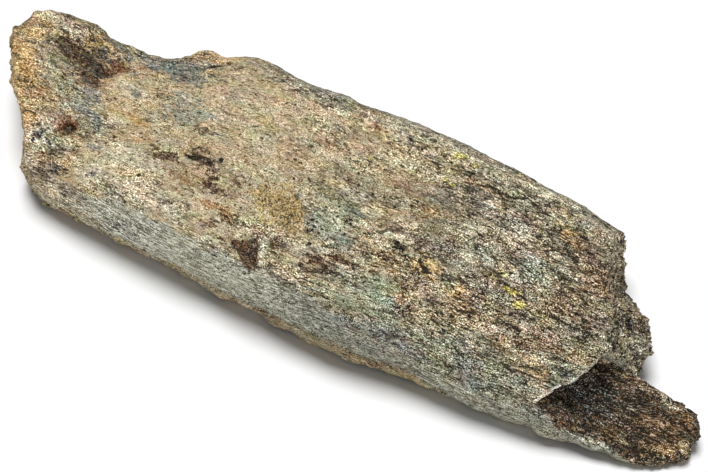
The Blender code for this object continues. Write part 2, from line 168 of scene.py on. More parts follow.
# The big fields of colour, laid on first, from the snapped end to the tongue.
FIELDS = {
    "snapped_third": Patch((-106.0, 2.0, 24.0), 44.0, 42.0, 0, Tone.OCHRE, 0.58, 0.45),
    "corner_ash": Patch((-108.0, 11.0, 25.5), 8.0, 6.5, -30, Tone.ASH, 0.5, 0.5),
    "left_olive": Patch((-88.6, -1.1, 25.6), 14.9, 6.0, -31, Tone.ASH, 0.65, 0.5),
    "straw_field": Patch((-65.0, -15.5, 25.8), 20.0, 8.5, -4, Tone.STRAW, 0.95, 0.4),
    "crown": Patch((-30.0, 19.5, 28.9), 44.0, 17.0, -6, Tone.CLAY, 1.0, 0.45),
    "cream_front": Patch((-35.5, -17.5, 26.3), 20.0, 4.2, -9, Tone.STRAW, 0.85, 0.4),
    "groove_field": Patch((-46.5, -7.5, 27.6), 14.5, 6.5, -3, Tone.RUST, 0.30, 0.5),
    "drift_middle": Patch((12.5, 4.5, 30.1), 22.0, 11.0, -6, Tone.DRIFT, 0.6, 0.5),
    "ash_pool": Patch((-4.8, -4.3, 29.3), 10.5, 8.5, 0, Tone.ASH, 0.85, 0.4),
    "drift_back": Patch((45.0, 24.0, 28.3), 26.0, 9.0, -8, Tone.DRIFT, 0.9, 0.5),
    "drift_end": Patch((64.0, 5.0, 26.0), 26.0, 26.0, 0, Tone.DRIFT, 0.9, 0.5),
    "clay_right": Patch((32.0, 6.5, 30.0), 14.0, 6.5, -5, Tone.DRIFT, 0.45, 0.5),
    "drift_shoulder": Patch((36.0, -7.0, 29.0), 24.0, 9.0, -6, Tone.DRIFT, 0.5, 0.5),
    "rust_end": Patch((73.0, 6.0, 27.5), 10.0, 14.0, 0, Tone.RUST, 0.25, 0.5),
    "moss_shoulder": Patch((17.0, -22.0, 25.2), 11.5, 5.2, 0, Tone.MOSS, 0.9, 0.4),
    "rust_zone": Patch((36.5, -13.5, 26.7), 14.0, 5.5, -5, Tone.RUST, 0.35, 0.5),
    "ash_shoulder": Patch((33.0, -28.6, 18.0), 20.0, 5.6, 0, Tone.SLATE, 0.35, 0.4),
    "ash_tail": Patch((50.0, -27.0, 19.1), 18.0, 6.0, 2, Tone.SLATE, 0.5, 0.4),
    "clay_tail": Patch((68.0, -18.0, 23.6), 6.0, 4.0, 2, Tone.CLAY, 0.45, 0.4),
    "back_frost": Patch((17.0, 35.0, 28.0), 24.0, 5.0, -6, Tone.PALE, 0.6, 0.4),
    "back_slate": Patch((-28.7, 36.3, 26.8), 20.0, 2.2, -9, Tone.SLATE, 0.5, 0.4),
}

# The smaller patches, each laid over the ones before it.
PATCHES = {
    "corner_ridge": Patch((-108.0, 24.5, 25.1), 13.8, 3.4, -3, Tone.STRAW, 0.6),
    "left_lip": Patch((-111.5, 3.6, 24.8), 17.6, 4.0, -54, Tone.OCHRE, 0.85),
    "corner_bright": Patch((-116.7, 18.8, 24.9), 4.8, 3.2, 80, Tone.OCHRE, 0.6),
    "corner_moss": Patch((-106.4, 9.1, 26.0), 4.6, 1.9, 15, Tone.ASH, 0.6),
    "corner_low": Patch((-103.4, -6.5, 24.6), 3.4, 2.3, -35, Tone.STRAW, 0.8),
    "lip_line": Patch((-106.6, -0.5, 25.1), 4.9, 0.8, -34, Tone.UMBER, 0.6),
    "hollow_head": Patch((-105.2, 17.9, 22.7), 4.2, 3.3, 7, Tone.UMBER, 0.6),
    "hollow_side": Patch((-91.4, 8.9, 24.6), 4.2, 2.6, -8, Tone.UMBER, 0.9),
    "dark_hollow": Patch((-96.4, 16.4, 22.1), 10.4, 7.2, -19, Tone.UMBER, 1.0),
    "hollow_core": Patch((-94.5, 15.3, 21.4), 7.4, 4.4, -22, Tone.SOOT, 0.75),
    "hollow_thread": Patch((-93.6, 18.0, 21.6), 3.0, 0.4, -24, Tone.RUST, 0.8),
    "hollow_shade": Patch((-88.4, 17.6, 23.5), 5.4, 3.0, -18, Tone.EMBER, 0.8),
    "rust_band": Patch((-93.5, -8.0, 24.0), 5.8, 2.6, 3, Tone.RUST, 0.85),
    "low_straw": Patch((-97.5, -12.0, 23.0), 8.0, 5.0, -50, Tone.STRAW, 0.6),
    "low_straw_b": Patch((-94.5, -14.8, 22.4), 6.0, 3.4, -20, Tone.STRAW, 0.8),
    "amber_lip": Patch((-104.0, -3.4, 24.8), 7.0, 3.4, -55, Tone.AMBER, 0.6),
    "amber_lip_b": Patch((-111.0, 4.0, 25.6), 4.4, 1.6, -50, Tone.AMBER, 0.7),
    "slate_low": Patch((-90.2, 5.0, 25.4), 4.5, 2.2, -30, Tone.SLATE, 0.5),
    "slate_ring": Patch((-97.1, -13.7, 22.7), 4.2, 3.8, 0, Tone.PALE, 0.7),
    "rust_pit": Patch((-90.2, -7.6, 22.1), 3.4, 3.2, -4, Tone.EMBER, 1.0),
    "slate_spot": Patch((-97.1, -13.7, 22.7), 1.7, 1.2, 19, Tone.SOOT, 0.95),
    "brown_scar": Patch((-90.6, -21.6, 18.6), 5.0, 4.2, 11, Tone.UMBER, 0.85),
    "scar_rust": Patch((-91.5, -19.5, 20.8), 3.0, 2.6, 0, Tone.RUST, 0.6),
    "scar_core": Patch((-87.2, -20.9, 19.6), 1.8, 1.4, 0, Tone.SOOT, 0.8),
    "olive_patch": Patch((-82.8, -3.9, 26.0), 3.6, 2.1, -36, Tone.ASH, 0.9),
    "grey_swirl": Patch((-92.1, 0.2, 25.9), 7.3, 3.9, -35, Tone.ASH, 0.7),
    "boss": Patch((-76.5, 8.3, 28.1), 10.2, 7.4, 1, Tone.CLAY, 0.80),
    "boss_foot": Patch((-74.9, 1.1, 26.3), 5.3, 2.0, 1, Tone.OCHRE, 0.75),
    "valley": Patch((-76.5, 27.3, 20.1), 16.7, 7.6, -7, Tone.SLATE, 0.85),
    "valley_head": Patch((-65.0, 23.9, 24.4), 5.9, 3.7, -25, Tone.SLATE, 0.7),
    "shelf_knob": Patch((-64.1, 35.8, 23.2), 10.7, 3.9, 6, Tone.OCHRE, 0.7),
    "grey_swale": Patch((-59.0, 9.9, 27.0), 8.0, 4.8, -11, Tone.ASH, 0.7),
    "swale_dark": Patch((-52.2, 5.7, 28.6), 3.5, 1.8, -14, Tone.UMBER, 0.5),
    "straw_field": Patch((-69.2, -15.7, 25.4), 10.5, 5.8, -31, Tone.STRAW, 0.9),
    "straw_left": Patch((-83.9, -24.4, 16.1), 7.8, 3.6, -8, Tone.STRAW, 0.5),
    "ochre_wall": Patch((-54.3, -22.0, 25.7), 9.5, 2.3, -9, Tone.STRAW, 0.7),
    "boss_light": Patch((-79.8, 9.8, 27.9), 5.4, 2.4, -10, Tone.STRAW, 0.7),
    "foot_light": Patch((-76.7, -0.5, 26.2), 3.8, 1.8, 0, Tone.STRAW, 0.6),
    "boss_spot": Patch((-76.4, 8.7, 28.2), 1.7, 1.2, -20, Tone.SLATE, 0.9),
    "low_spot": Patch((-83.0, -3.6, 26.0), 2.2, 1.4, -30, Tone.SLATE, 0.9),
    "low_spot_b": Patch((-79.6, -11.9, 24.7), 2.4, 0.9, 12, Tone.SLATE, 0.9),
    "ash_low": Patch((-86.5, -13.8, 23.6), 4.0, 2.2, -10, Tone.ASH, 0.6),
    "lip_pale": Patch((-104.0, 7.4, 25.6), 4.2, 0.7, -14, Tone.PALE, 0.8),
    "lip_ochre": Patch((-101.5, -10.9, 23.6), 4.6, 2.4, -60, Tone.OCHRE, 0.7),
    "straw_shoulder": Patch((-67.8, -18.7, 25.0), 6.6, 1.5, -7, Tone.STRAW, 0.6),
    "groove_a": Patch((-58.1, -6.4, 26.8), 5.1, 1.6, -5, Tone.UMBER, 0.7),
    "groove_b": Patch((-45.9, -2.8, 27.1), 5.8, 2.2, -10, Tone.UMBER, 0.75),
    "groove_c": Patch((-49.8, -11.1, 26.9), 6.1, 1.6, -4, Tone.RUST, 0.8),
    "groove_d": Patch((-40.7, -9.9, 26.2), 4.8, 2.5, -13, Tone.UMBER, 0.7),
    "groove_e": Patch((-33.0, -5.3, 28.4), 3.1, 1.6, -9, Tone.UMBER, 0.6),
    "groove_f": Patch((-32.7, -16.2, 26.3), 2.8, 1.8, -16, Tone.RUST, 0.7),
    "crust_bed": Patch((-19.8, -8.5, 29.5), 7.6, 5.0, -25, Tone.OCHRE, 0.95),
    "orange_mid": Patch((-35.1, -0.2, 29.1), 7.6, 3.2, -10, Tone.CLAY, 0.7),
    "orange_blob": Patch((-18.4, 17.7, 30.0), 4.8, 4.0, 1, Tone.RUST, 0.5),
    "orange_dot": Patch((-7.0, 29.1, 29.1), 2.7, 2.3, 2, Tone.RUST, 0.6),
    "green_pool": Patch((-3.8, -4.3, 29.4), 9.1, 6.8, -9, Tone.MOSS, 0.62),
    "green_pool_b": Patch((0.9, 1.9, 29.5), 4.2, 2.9, -8, Tone.SLATE, 0.6),
    "chip_core": Patch((-18.8, -25.6, 24.2), 2.4, 1.6, -70, Tone.SOOT, 0.8),
    "chip_lip": Patch((-17.4, -22.4, 26.2), 3.8, 1.3, -68, Tone.PALE, 0.8),
    "scar_two": Patch((-15.3, -18.4, 26.6), 2.6, 1.7, 3, Tone.UMBER, 0.7),
    "pale_step": Patch((-7.1, -25.6, 24.9), 6.4, 2.2, -5, Tone.PALE, 0.45),
    "brown_fan": Patch((-1.5, -19.3, 26.4), 5.3, 2.4, -3, Tone.UMBER, 0.5),
    "brown_fan_b": Patch((4.6, -20.1, 26.5), 4.6, 1.8, -6, Tone.UMBER, 0.3),
    "sage_a": Patch((15.5, -20.0, 25.7), 4.0, 3.3, -5, Tone.MOSS, 0.9),
    "sage_b": Patch((16.4, -25.4, 24.1), 4.5, 2.2, -4, Tone.MOSS, 0.8),
    "slate_dot": Patch((17.1, -5.2, 28.0), 2.2, 1.6, -11, Tone.SOOT, 1.0),
    "rust_a": Patch((17.3, -10.6, 28.0), 3.8, 2.8, -7, Tone.RUST, 0.64),
    "rust_b": Patch((24.0, -9.5, 28.1), 2.8, 2.3, -5, Tone.RUST, 0.5),
    "orange_c": Patch((27.4, -8.2, 28.3), 4.2, 2.6, -16, Tone.OCHRE, 0.85),
    "orange_d": Patch((19.0, 7.6, 30.9), 4.1, 2.9, -4, Tone.RUST, 0.45),
    "pale_b": Patch((33.5, 7.2, 30.6), 4.7, 3.8, -16, Tone.CLAY, 0.4),
    "pale_c": Patch((37.0, 1.2, 30.1), 5.2, 2.8, -9, Tone.PALE, 0.8),
    "pale_e": Patch((14.9, 1.9, 30.1), 4.4, 2.4, -10, Tone.CLAY, 0.75),
    "pale_f": Patch((-13.5, -2.4, 29.2), 4.6, 2.6, -10, Tone.STRAW, 0.85),
    "pale_g": Patch((-8.5, 5.4, 30.4), 4.6, 2.2, -8, Tone.CLAY, 0.65),
    "pale_h": Patch((4.5, 2.3, 29.8), 4.2, 2.0, -9, Tone.STRAW, 0.65),
    "pale_i": Patch((55.0, 11.9, 27.7), 5.0, 2.4, -8, Tone.TAN, 0.85),
    "pale_j": Patch((36.4, 20.2, 29.0), 5.4, 2.6, -8, Tone.STRAW, 0.55),
    "pale_k": Patch((-63.8, 3.0, 26.8), 4.4, 2.0, -8, Tone.STRAW, 0.6),
    "brown_k": Patch((-28.9, -17.4, 26.1), 4.2, 1.7, -10, Tone.UMBER, 0.6),
    "brown_l": Patch((-37.5, -15.8, 26.4), 4.0, 1.5, -9, Tone.RUST, 0.7),
    "brown_m": Patch((-21.2, -16.9, 26.7), 3.0, 1.6, -6, Tone.RUST, 0.7),
    "brown_n": Patch((44.6, 18.3, 28.5), 4.6, 2.4, -8, Tone.UMBER, 0.7),
    "brown_o": Patch((26.5, -21.5, 24.8), 4.2, 1.8, -5, Tone.UMBER, 0.5),
    "brown_p": Patch((61.2, -16.4, 24.6), 4.6, 2.4, -6, Tone.UMBER, 0.62),
    "brown_q": Patch((66.2, -12.8, 26.0), 4.6, 2.2, -6, Tone.UMBER, 0.45),
    "brown_s": Patch((69.4, 14.0, 27.5), 5.4, 3.2, -62, Tone.UMBER, 0.6),
    "drift_a": Patch((21.6, -2.4, 29.6), 9.0, 2.2, -8, Tone.UMBER, 0.55),
    "drift_b": Patch((30.4, 0.8, 29.9), 3.0, 1.8, -8, Tone.UMBER, 0.5),
    "pale_l": Patch((49.5, 1.2, 28.8), 5.6, 2.2, -8, Tone.STRAW, 0.6),
    "pale_m": Patch((59.0, 10.8, 28.2), 5.2, 2.2, -8, Tone.STRAW, 0.55),
    "pale_n": Patch((9.0, -18.0, 26.5), 4.2, 2.2, -5, Tone.PALE, 0.5),
    "pale_o": Patch((27.5, -8.8, 28.1), 4.4, 2.4, -14, Tone.OCHRE, 0.85),
    "pale_p": Patch((34.0, -6.0, 28.6), 3.6, 2.0, -10, Tone.CLAY, 0.7),
    "pale_q": Patch((38.2, 1.4, 30.0), 4.6, 2.6, -9, Tone.PALE, 0.85),
    "pale_r": Patch((-0.7, 2.8, 29.8), 4.4, 1.8, -8, Tone.STRAW, 0.6),
    "pale_s": Patch((-16.0, -12.0, 28.4), 4.0, 2.4, -10, Tone.STRAW, 0.7),
    "frost_a": Patch((-9.0, -29.6, 19.5), 6.0, 2.4, -5, Tone.FROST, 0.8),
    "frost_b": Patch((-22.0, -28.0, 22.0), 10.0, 2.0, -5, Tone.FROST, 0.8),
    "frost_c": Patch((-65.0, -24.2, 21.6), 5.0, 1.6, -5, Tone.FROST, 0.7),
    "brown_t": Patch((1.0, -14.6, 27.4), 4.0, 1.5, -6, Tone.UMBER, 0.5),
    "brown_u": Patch((23.3, -15.0, 27.0), 3.6, 1.8, -6, Tone.UMBER, 0.5),
    "brown_v": Patch((45.4, -14.5, 26.4), 4.2, 1.8, -6, Tone.UMBER, 0.45),
    "dark_a": Patch((14.6, -10.2, 28.1), 2.6, 1.2, 3, Tone.UMBER, 0.7),
    "dark_b": Patch((19.8, -7.5, 28.6), 2.8, 1.2, -3, Tone.UMBER, 0.6),
    "dark_c": Patch((30.4, 0.7, 30.0), 2.8, 2.1, -39, Tone.UMBER, 0.5),
    "dark_d": Patch((6.4, -10.7, 28.5), 2.4, 1.8, 3, Tone.UMBER, 0.45),
    "dark_e": Patch((-19.9, -19.4, 26.4), 2.4, 1.5, 0, Tone.UMBER, 0.5),
    "dark_f": Patch((-34.8, -20.5, 26.5), 2.4, 1.7, 7, Tone.UMBER, 0.55),
    "dark_g": Patch((-3.0, -22.6, 25.7), 2.4, 1.5, 4, Tone.UMBER, 0.55),
    "dark_h": Patch((-42.5, -6.5, 27.8), 2.5, 1.8, 1, Tone.UMBER, 0.5),
    "dark_i": Patch((-69.3, 12.7, 27.3), 2.7, 2.2, 16, Tone.UMBER, 0.4),
    "dark_j": Patch((-88.9, 4.1, 26.2), 3.1, 2.4, 10, Tone.SLATE, 0.55),
    "dark_k": Patch((-99.2, -6.5, 24.7), 2.5, 2.2, 22, Tone.RUST, 0.6),
    "dark_l": Patch((-90.5, -22.4, 17.5), 2.7, 2.0, -2, Tone.UMBER, 0.45),
    "dark_m": Patch((-81.0, -24.5, 18.0), 2.9, 2.4, -5, Tone.UMBER, 0.45),
    "dark_n": Patch((71.3, 8.2, 27.5), 2.5, 2.2, 6, Tone.UMBER, 0.45),
    "dark_o": Patch((43.5, -8.2, 27.9), 3.2, 2.1, -10, Tone.UMBER, 0.5),
    "light_p": Patch((-38.0, -26.4, 22.0), 3.0, 1.4, 4, Tone.PALE, 0.5),
    "light_a": Patch((17.3, -2.9, 29.4), 2.8, 1.2, 3, Tone.STRAW, 0.75),
    "light_b": Patch((34.3, 8.3, 30.6), 2.6, 2.2, 9, Tone.STRAW, 0.6),
    "light_c": Patch((-105.8, -8.9, 23.6), 2.7, 1.7, -60, Tone.OCHRE, 0.7),
    "light_d": Patch((-98.0, -20.5, 18.5), 3.0, 2.6, -2, Tone.STRAW, 0.7),
    "light_e": Patch((-90.2, -24.1, 5.3), 3.0, 2.8, -6, Tone.STRAW, 0.6),
    "light_g": Patch((-87.4, -12.6, 23.9), 2.6, 1.2, -1, Tone.STRAW, 0.7),
    "light_h": Patch((-65.8, -21.8, 24.2), 2.9, 1.7, -1, Tone.STRAW, 0.6),
    "light_i": Patch((-32.4, -25.0, 25.4), 2.8, 1.4, 4, Tone.PALE, 0.6),
    "light_k": Patch((-14.9, -27.7, 23.9), 3.0, 1.5, 2, Tone.PALE, 0.6),
    "light_l": Patch((-15.9, -12.5, 28.5), 2.8, 1.4, 7, Tone.CLAY, 0.6),
    "light_m": Patch((-6.0, -2.0, 29.6), 2.6, 1.6, 2, Tone.STRAW, 0.55),
    "light_n": Patch((38.0, 32.0, 27.0), 3.2, 1.9, -5, Tone.STRAW, 0.55),
    "light_o": Patch((42.3, 23.5, 28.4), 2.8, 1.7, 4, Tone.STRAW, 0.55),
    "slate_q": Patch((43.0, -23.4, 22.7), 5.0, 2.0, -4, Tone.SLATE, 0.6),
    "rust_e": Patch((24.1, -19.2, 25.5), 2.9, 1.7, -7, Tone.RUST, 0.8),
    "rust_f": Patch((40.1, -14.1, 26.6), 6.4, 3.4, -26, Tone.RUST, 0.49),
    "orange_g": Patch((36.9, -10.6, 27.3), 4.0, 2.0, -7, Tone.OCHRE, 0.7),
    "rust_h": Patch((41.0, -18.9, 25.2), 4.5, 1.7, -4, Tone.RUST, 0.60),
    "moss_c": Patch((34.3, -9.0, 27.8), 2.6, 1.7, -6, Tone.MOSS, 0.7),
    "moss_d": Patch((38.6, -27.2, 20.8), 6.4, 3.3, -2, Tone.MOSS, 0.5),
    "moss_e": Patch((50.0, -27.7, 18.2), 5.0, 3.6, 0, Tone.SLATE, 0.7),
    "dark_back": Patch((27.7, 25.1, 29.0), 5.9, 3.1, -3, Tone.RUST, 0.55),
    "olive_back": Patch((37.9, 26.7, 28.5), 7.1, 3.5, -8, Tone.ASH, 0.7),
    "tan_back": Patch((52.6, 25.5, 28.0), 7.6, 2.9, -9, Tone.TAN, 0.5),
    "orange_i": Patch((58.0, 20.0, 28.0), 4.4, 2.6, -11, Tone.OCHRE, 0.7),
    "pale_d": Patch((44.3, 12.9, 28.8), 5.1, 4.2, -4, Tone.STRAW, 0.5),
    "brown_j": Patch((64.5, 16.2, 27.9), 6.9, 3.8, -40, Tone.UMBER, 0.45),
    "rust_k": Patch((71.1, 7.4, 27.5), 4.0, 3.9, -18, Tone.RUST, 0.64),
    "ash_l": Patch((55.4, 5.4, 28.5), 6.3, 4.1, -7, Tone.ASH, 0.6),
    "orange_n": Patch((66.4, -19.6, 22.4), 2.8, 2.4, -4, Tone.CLAY, 0.6),
    "orange_o": Patch((69.2, -22.3, 20.4), 2.5, 2.2, -21, Tone.RUST, 0.6),
    "rust_p": Patch((54.9, -19.2, 23.8), 5.0, 2.2, -4, Tone.RUST, 0.45),
    "rust_q": Patch((65.7, -13.5, 26.0), 6.1, 2.8, -6, Tone.RUST, 0.49),
    "brown_r": Patch((65.2, -2.7, 28.5), 5.2, 3.9, -18, Tone.UMBER, 0.5),
    "lime_a": Patch((21.4, 20.2, 29.5), 1.0, 0.8, 0, Tone.LIME, 0.9),
    "lime_b": Patch((19.2, 31.0, 28.7), 2.0, 1.4, 17, Tone.LIME, 0.9),
    "lime_c": Patch((23.7, 30.2, 28.5), 1.1, 0.9, 25, Tone.LIME, 0.8),
    "lime_d": Patch((18.9, 21.4, 29.5), 0.9, 0.8, 28, Tone.LIME, 0.7),
    "lime_e": Patch((-3.7, 18.1, 29.7), 1.2, 1.1, 27, Tone.LIME, 0.5),
    "lime_f": Patch((51.5, -4.7, 28.3), 2.0, 1.6, 3, Tone.LIME, 0.7),
    "lime_g": Patch((55.0, -7.4, 27.8), 2.1, 1.2, 12, Tone.LIME, 0.8),
    "lime_h": Patch((46.0, -1.0, 29.0), 2.4, 1.2, 26, Tone.LIME, 0.4),
    "white_a": Patch((12.9, -3.6, 29.5), 1.6, 1.0, 13, Tone.PALE, 1.0),
    "white_b": Patch((-1.8, -15.1, 27.2), 1.7, 1.0, 15, Tone.PALE, 0.9),
    "white_c": Patch((-18.0, -20.9, 26.2), 2.6, 1.3, -62, Tone.PALE, 0.8),
    "back_band": Patch((19.0, 36.0, 27.0), 12.0, 3.0, -5, Tone.PALE, 0.5),
    "back_straw": Patch((-24.0, 30.6, 29.0), 12.0, 1.3, -13, Tone.STRAW, 0.8),
    "back_tan": Patch((47.0, 32.0, 26.0), 8.0, 3.0, -10, Tone.STRAW, 0.5),
    "back_brown": Patch((66.1, 26.7, 26.8), 3.6, 2.0, -60, Tone.UMBER, 0.4),
    "back_band_b": Patch((-26.0, 34.2, 27.8), 12.2, 1.5, -13, Tone.SLATE, 0.5),
    "back_line": Patch((-28.0, 32.2, 28.6), 11.0, 0.5, -14, Tone.SOOT, 0.7),
    "front_bright": Patch((-17.6, -30.4, 17.6), 14.8, 5.0, -6, Tone.FROST, 0.7),
    "front_left": Patch((-51.6, -28.0, 16.2), 12.2, 7.1, -5, Tone.FROST, 0.7),
    "front_olive": Patch((-77.7, -25.2, 6.9), 6.8, 4.8, -3, Tone.DRIFT, 0.5),
    "front_dark": Patch((-61.0, -27.2, 14.8), 4.6, 2.1, -7, Tone.SLATE, 0.95),
    "front_dark_b": Patch((-2.0, -30.4, 19.6), 5.4, 2.4, -4, Tone.SLATE, 0.7),
    "corner_bands": Patch((-80.0, -24.6, 12.4), 8.0, 1.4, -4, Tone.DRIFT, 0.8),
    "corner_low_b": Patch((-86.0, -23.8, 12.8), 4.0, 1.4, -4, Tone.OCHRE, 0.6),
    "wall_streak": Patch((-62.0, -26.6, 11.6), 11.0, 0.9, -5, Tone.SLATE, 0.8),
    "wall_streak_b": Patch((-82.0, -24.6, 17.4), 6.0, 1.2, -6, Tone.UMBER, 0.5),
    "wall_streak_c": Patch((-44.0, -27.6, 12.4), 10.0, 0.8, -5, Tone.UMBER, 0.5),
    "front_low": Patch((10.4, -31.3, 17.8), 15.0, 5.0, -2, Tone.SLATE, 0.55),
    "front_tail": Patch((51.9, -30.9, 9.5), 16.7, 6.3, 4, Tone.FROST, 0.36),
}

# What is laid last, on the torn end: the lobe, the lip and the tongue of inner bone.
TORN = {
    "end_rust": Patch((74.5, 9.3, 27.3), 5.0, 2.6, -5, Tone.RUST, 0.6),
    "end_pale": Patch((68.1, 12.7, 28.0), 2.2, 2.0, 5, Tone.STRAW, 0.8),
    "lobe_tan": Patch((85.4, 12.6, 13.6), 5.6, 3.4, -62, Tone.RUST, 0.8),
    # painted light: a pale tone that lightens a side of the lobe which faces away from the lights
    "lobe_pale_painted_light": Patch((76.3, 16.3, 20.2), 5.4, 3.2, -50, Tone.PALE, 0.95),
    "lobe_pit": Patch((82.5, 7.3, 17.0), 3.0, 1.8, 62, Tone.SOOT, 0.95),
    "lobe_pale": Patch((87.0, 3.2, 16.2), 4.4, 1.8, 13, Tone.PALE, 0.95),
    "lobe_gold": Patch((80.0, 13.0, 20.4), 4.6, 1.6, -50, Tone.OCHRE, 0.9),
    "lobe_crumb": Patch((84.6, 9.6, 14.6), 2.4, 1.4, 20, Tone.UMBER, 0.9),
    "lobe_foot": Patch((83.7, -5.9, 20.0), 6.5, 2.5, 52, Tone.ASH, 0.7),
    # painted shadow under the lip's overhang, laid over the tongue's own dark inner bone
    "notch_soot_and_shadow": Patch((79.5, -14.0, 12.0), 9.5, 6.4, 20, Tone.SOOT, 1.0),
    "lobe_low": Patch((86.5, 8.5, 14.5), 3.4, 2.4, 20, Tone.UMBER, 0.85),
    "lobe_hollow": Patch((80.6, 11.0, 18.6), 2.4, 1.4, -50, Tone.SOOT, 0.8),
    "tongue_soot": Patch((85.5, -17.4, 8.3), 8.3, 2.5, -1, Tone.SOOT, 0.6),
    "tongue_grey": Patch((90.3, -11.6, 9.2), 6.4, 2.4, 5, Tone.SLATE, 0.55),
    "tongue_rust": Patch((90.0, -8.8, 10.3), 6.4, 1.6, 1, Tone.RUST, 0.5),
    "tongue_rust_b": Patch((98.2, -14.1, 8.0), 8.0, 2.0, -2, Tone.RUST, 0.4),
    "tongue_back": Patch((100.0, -7.2, 11.0), 5.0, 1.2, -11, Tone.STRAW, 0.85),
    "tip_orange": Patch((107.8, -8.6, 8.8), 2.8, 1.2, -35, Tone.AMBER, 0.95),
    "tip_dark": Patch((110.6, -13.0, 6.2), 2.6, 1.6, -21, Tone.SOOT, 0.6),
    "tip_front": Patch((106.5, -17.6, 4.4), 5.6, 2.0, 26, Tone.OCHRE, 0.75),
    "tip_gold": Patch((110.0, -14.6, 4.6), 3.4, 2.0, -50, Tone.OCHRE, 0.6),
    "tip_gold_b": Patch((99.6, -19.8, 4.4), 2.2, 1.4, 7, Tone.OCHRE, 0.5),
    "grey_patch": Patch((90.3, -13.2, 9.0), 3.0, 1.6, -3, Tone.SLATE, 0.65),
    "grey_patch_b": Patch((83.2, -12.5, 10.7), 3.4, 1.6, -3, Tone.SLATE, 0.5),
    "gold_flake": Patch((95.4, -21.4, 5.2), 2.2, 0.9, 5, Tone.STRAW, 0.95),
    "gold_flake_b": Patch((104.7, -17.8, 4.7), 2.2, 1.0, 1, Tone.OCHRE, 0.9),
    "gold_flake_c": Patch((93.9, -9.1, 9.5), 2.6, 0.8, 2, Tone.RUST, 0.8),
    "pale_seam": Patch((91.6, -4.4, 12.5), 2.4, 0.9, -6, Tone.STRAW, 0.8),
    "rust_fibre": Patch((88.6, -11.6, 9.7), 2.0, 0.7, 8, Tone.EMBER, 0.9),
    "rust_fibre_b": Patch((92.6, -15.4, 7.5), 2.0, 0.7, -1, Tone.EMBER, 0.9),
    "tip_grey": Patch((110.8, -11.8, 5.3), 1.8, 1.1, 40, Tone.ASH, 0.8),
    "tip_bite": Patch((109.4, -17.5, 4.2), 1.3, 0.9, 26, Tone.SOOT, 0.95),
    "tongue_tan": Patch((92.9, -5.5, 12.5), 2.2, 1.3, 7, Tone.RUST, 0.6),
    "lobe_side": Patch((76.5, 13.0, 20.0), 6.0, 4.5, -67, Tone.STRAW, 0.9),
    "lobe_side_b": Patch((79.5, 8.3, 20.9), 4.6, 3.0, 80, Tone.STRAW, 0.85),
    "lobe_rim": Patch((88.9, 2.9, 14.4), 5.0, 2.4, 50, Tone.PALE, 0.85),
    "edge_pale": Patch((69.9, 27.0, 24.4), 4.0, 3.1, 81, Tone.STRAW, 0.75),
    "tip_brown": Patch((104.0, -12.2, 7.6), 4.0, 1.4, 10, Tone.RUST, 0.6),
    "front_soot": Patch((97.4, -22.6, 4.7), 5.9, 1.9, 4, Tone.SOOT, 0.7),
    "tongue_streak": Patch((96.5, -19.6, 6.2), 4.0, 0.9, 14, Tone.STRAW, 0.6),
    "lobe_seam": Patch((86.5, -5.6, 12.6), 2.6, 1.2, -10, Tone.OCHRE, 0.9),
    "lobe_gap": Patch((83.2, -5.4, 22.5), 1.6, 1.0, -80, Tone.SOOT, 0.95),
    # painted shadow under the lobe's overhanging edge
    "lobe_under_shadow": Patch((86.1, -4.5, 13.0), 2.8, 0.9, 6, Tone.SOOT, 0.95),
    "lobe_flake": Patch((86.6, -2.1, 15.6), 2.8, 1.1, 46, Tone.STRAW, 0.95),
    "lobe_flake_b": Patch((85.9, 1.5, 16.8), 2.0, 1.1, 33, Tone.PALE, 0.95),
    "lobe_flake_c": Patch((84.9, -5.5, 17.7), 2.4, 1.2, 66, Tone.ASH, 0.9),
    "lobe_fork": Patch((84.6, 3.6, 18.6), 1.6, 0.8, 40, Tone.SOOT, 0.95),
    "lobe_fork_b": Patch((88.2, 0.4, 14.2), 1.6, 0.7, 30, Tone.SOOT, 0.9),
    "lip_ash": Patch((74.2, -18.6, 22.4), 6.0, 2.4, 54, Tone.ASH, 0.8),
    "lip_pit": Patch((70.9, -22.1, 20.3), 1.0, 0.7, 23, Tone.SOOT, 0.95),
    "lip_pit_b": Patch((74.3, -19.2, 22.2), 1.0, 0.7, 21, Tone.SOOT, 0.95),
    "lip_pit_c": Patch((75.6, -17.6, 23.0), 0.7, 0.6, 22, Tone.SOOT, 0.95),
    "lip_gold": Patch((67.2, -21.4, 21.3), 2.2, 1.6, 21, Tone.OCHRE, 0.7),
    "strip_light": Patch((86.4, -26.2, 6.4), 3.2, 0.8, 3, Tone.PALE, 0.8),
}

# the tones of the inner bone that few fibres of another colour cross
PLAIN = (Tone.STRAW, Tone.OCHRE, Tone.AMBER, Tone.PALE, Tone.SOOT)

# Single open pores: the place and the radius of each.
PORES = (
    (-9.1, -8.3, 28.6, 0.50),
    (-7.5, -8.3, 28.6, 0.40),
    (0.0, -4.9, 29.6, 0.55),
    (-7.7, -11.0, 28.0, 0.50),
    (1.3, -8.7, 28.9, 0.40),
    (-3.7, -5.8, 29.3, 0.32),
    (2.6, 6.7, 30.0, 0.48),
    (-2.6, 7.7, 29.8, 0.45),
    (10.3, 5.4, 30.1, 0.48),
    (14.3, 7.5, 30.6, 0.45),
    (22.5, 16.0, 30.1, 0.45),
    (15.1, -10.6, 28.1, 0.48),
    (0.8, -21.4, 26.1, 0.45),
    (-42.7, -0.8, 26.8, 0.75),
    (-41.5, -8.9, 26.5, 0.45),
    (-20.0, 1.5, 29.6, 0.42),
    (-0.4, 21.7, 29.3, 0.36),
    (-3.0, 15.4, 29.9, 0.36),
    (15.2, 0.0, 29.8, 0.40),
    (-0.3, -8.1, 29.0, 0.32),
    (47.4, -3.6, 28.5, 0.45),
    (56.2, 9.1, 28.2, 0.45),
)

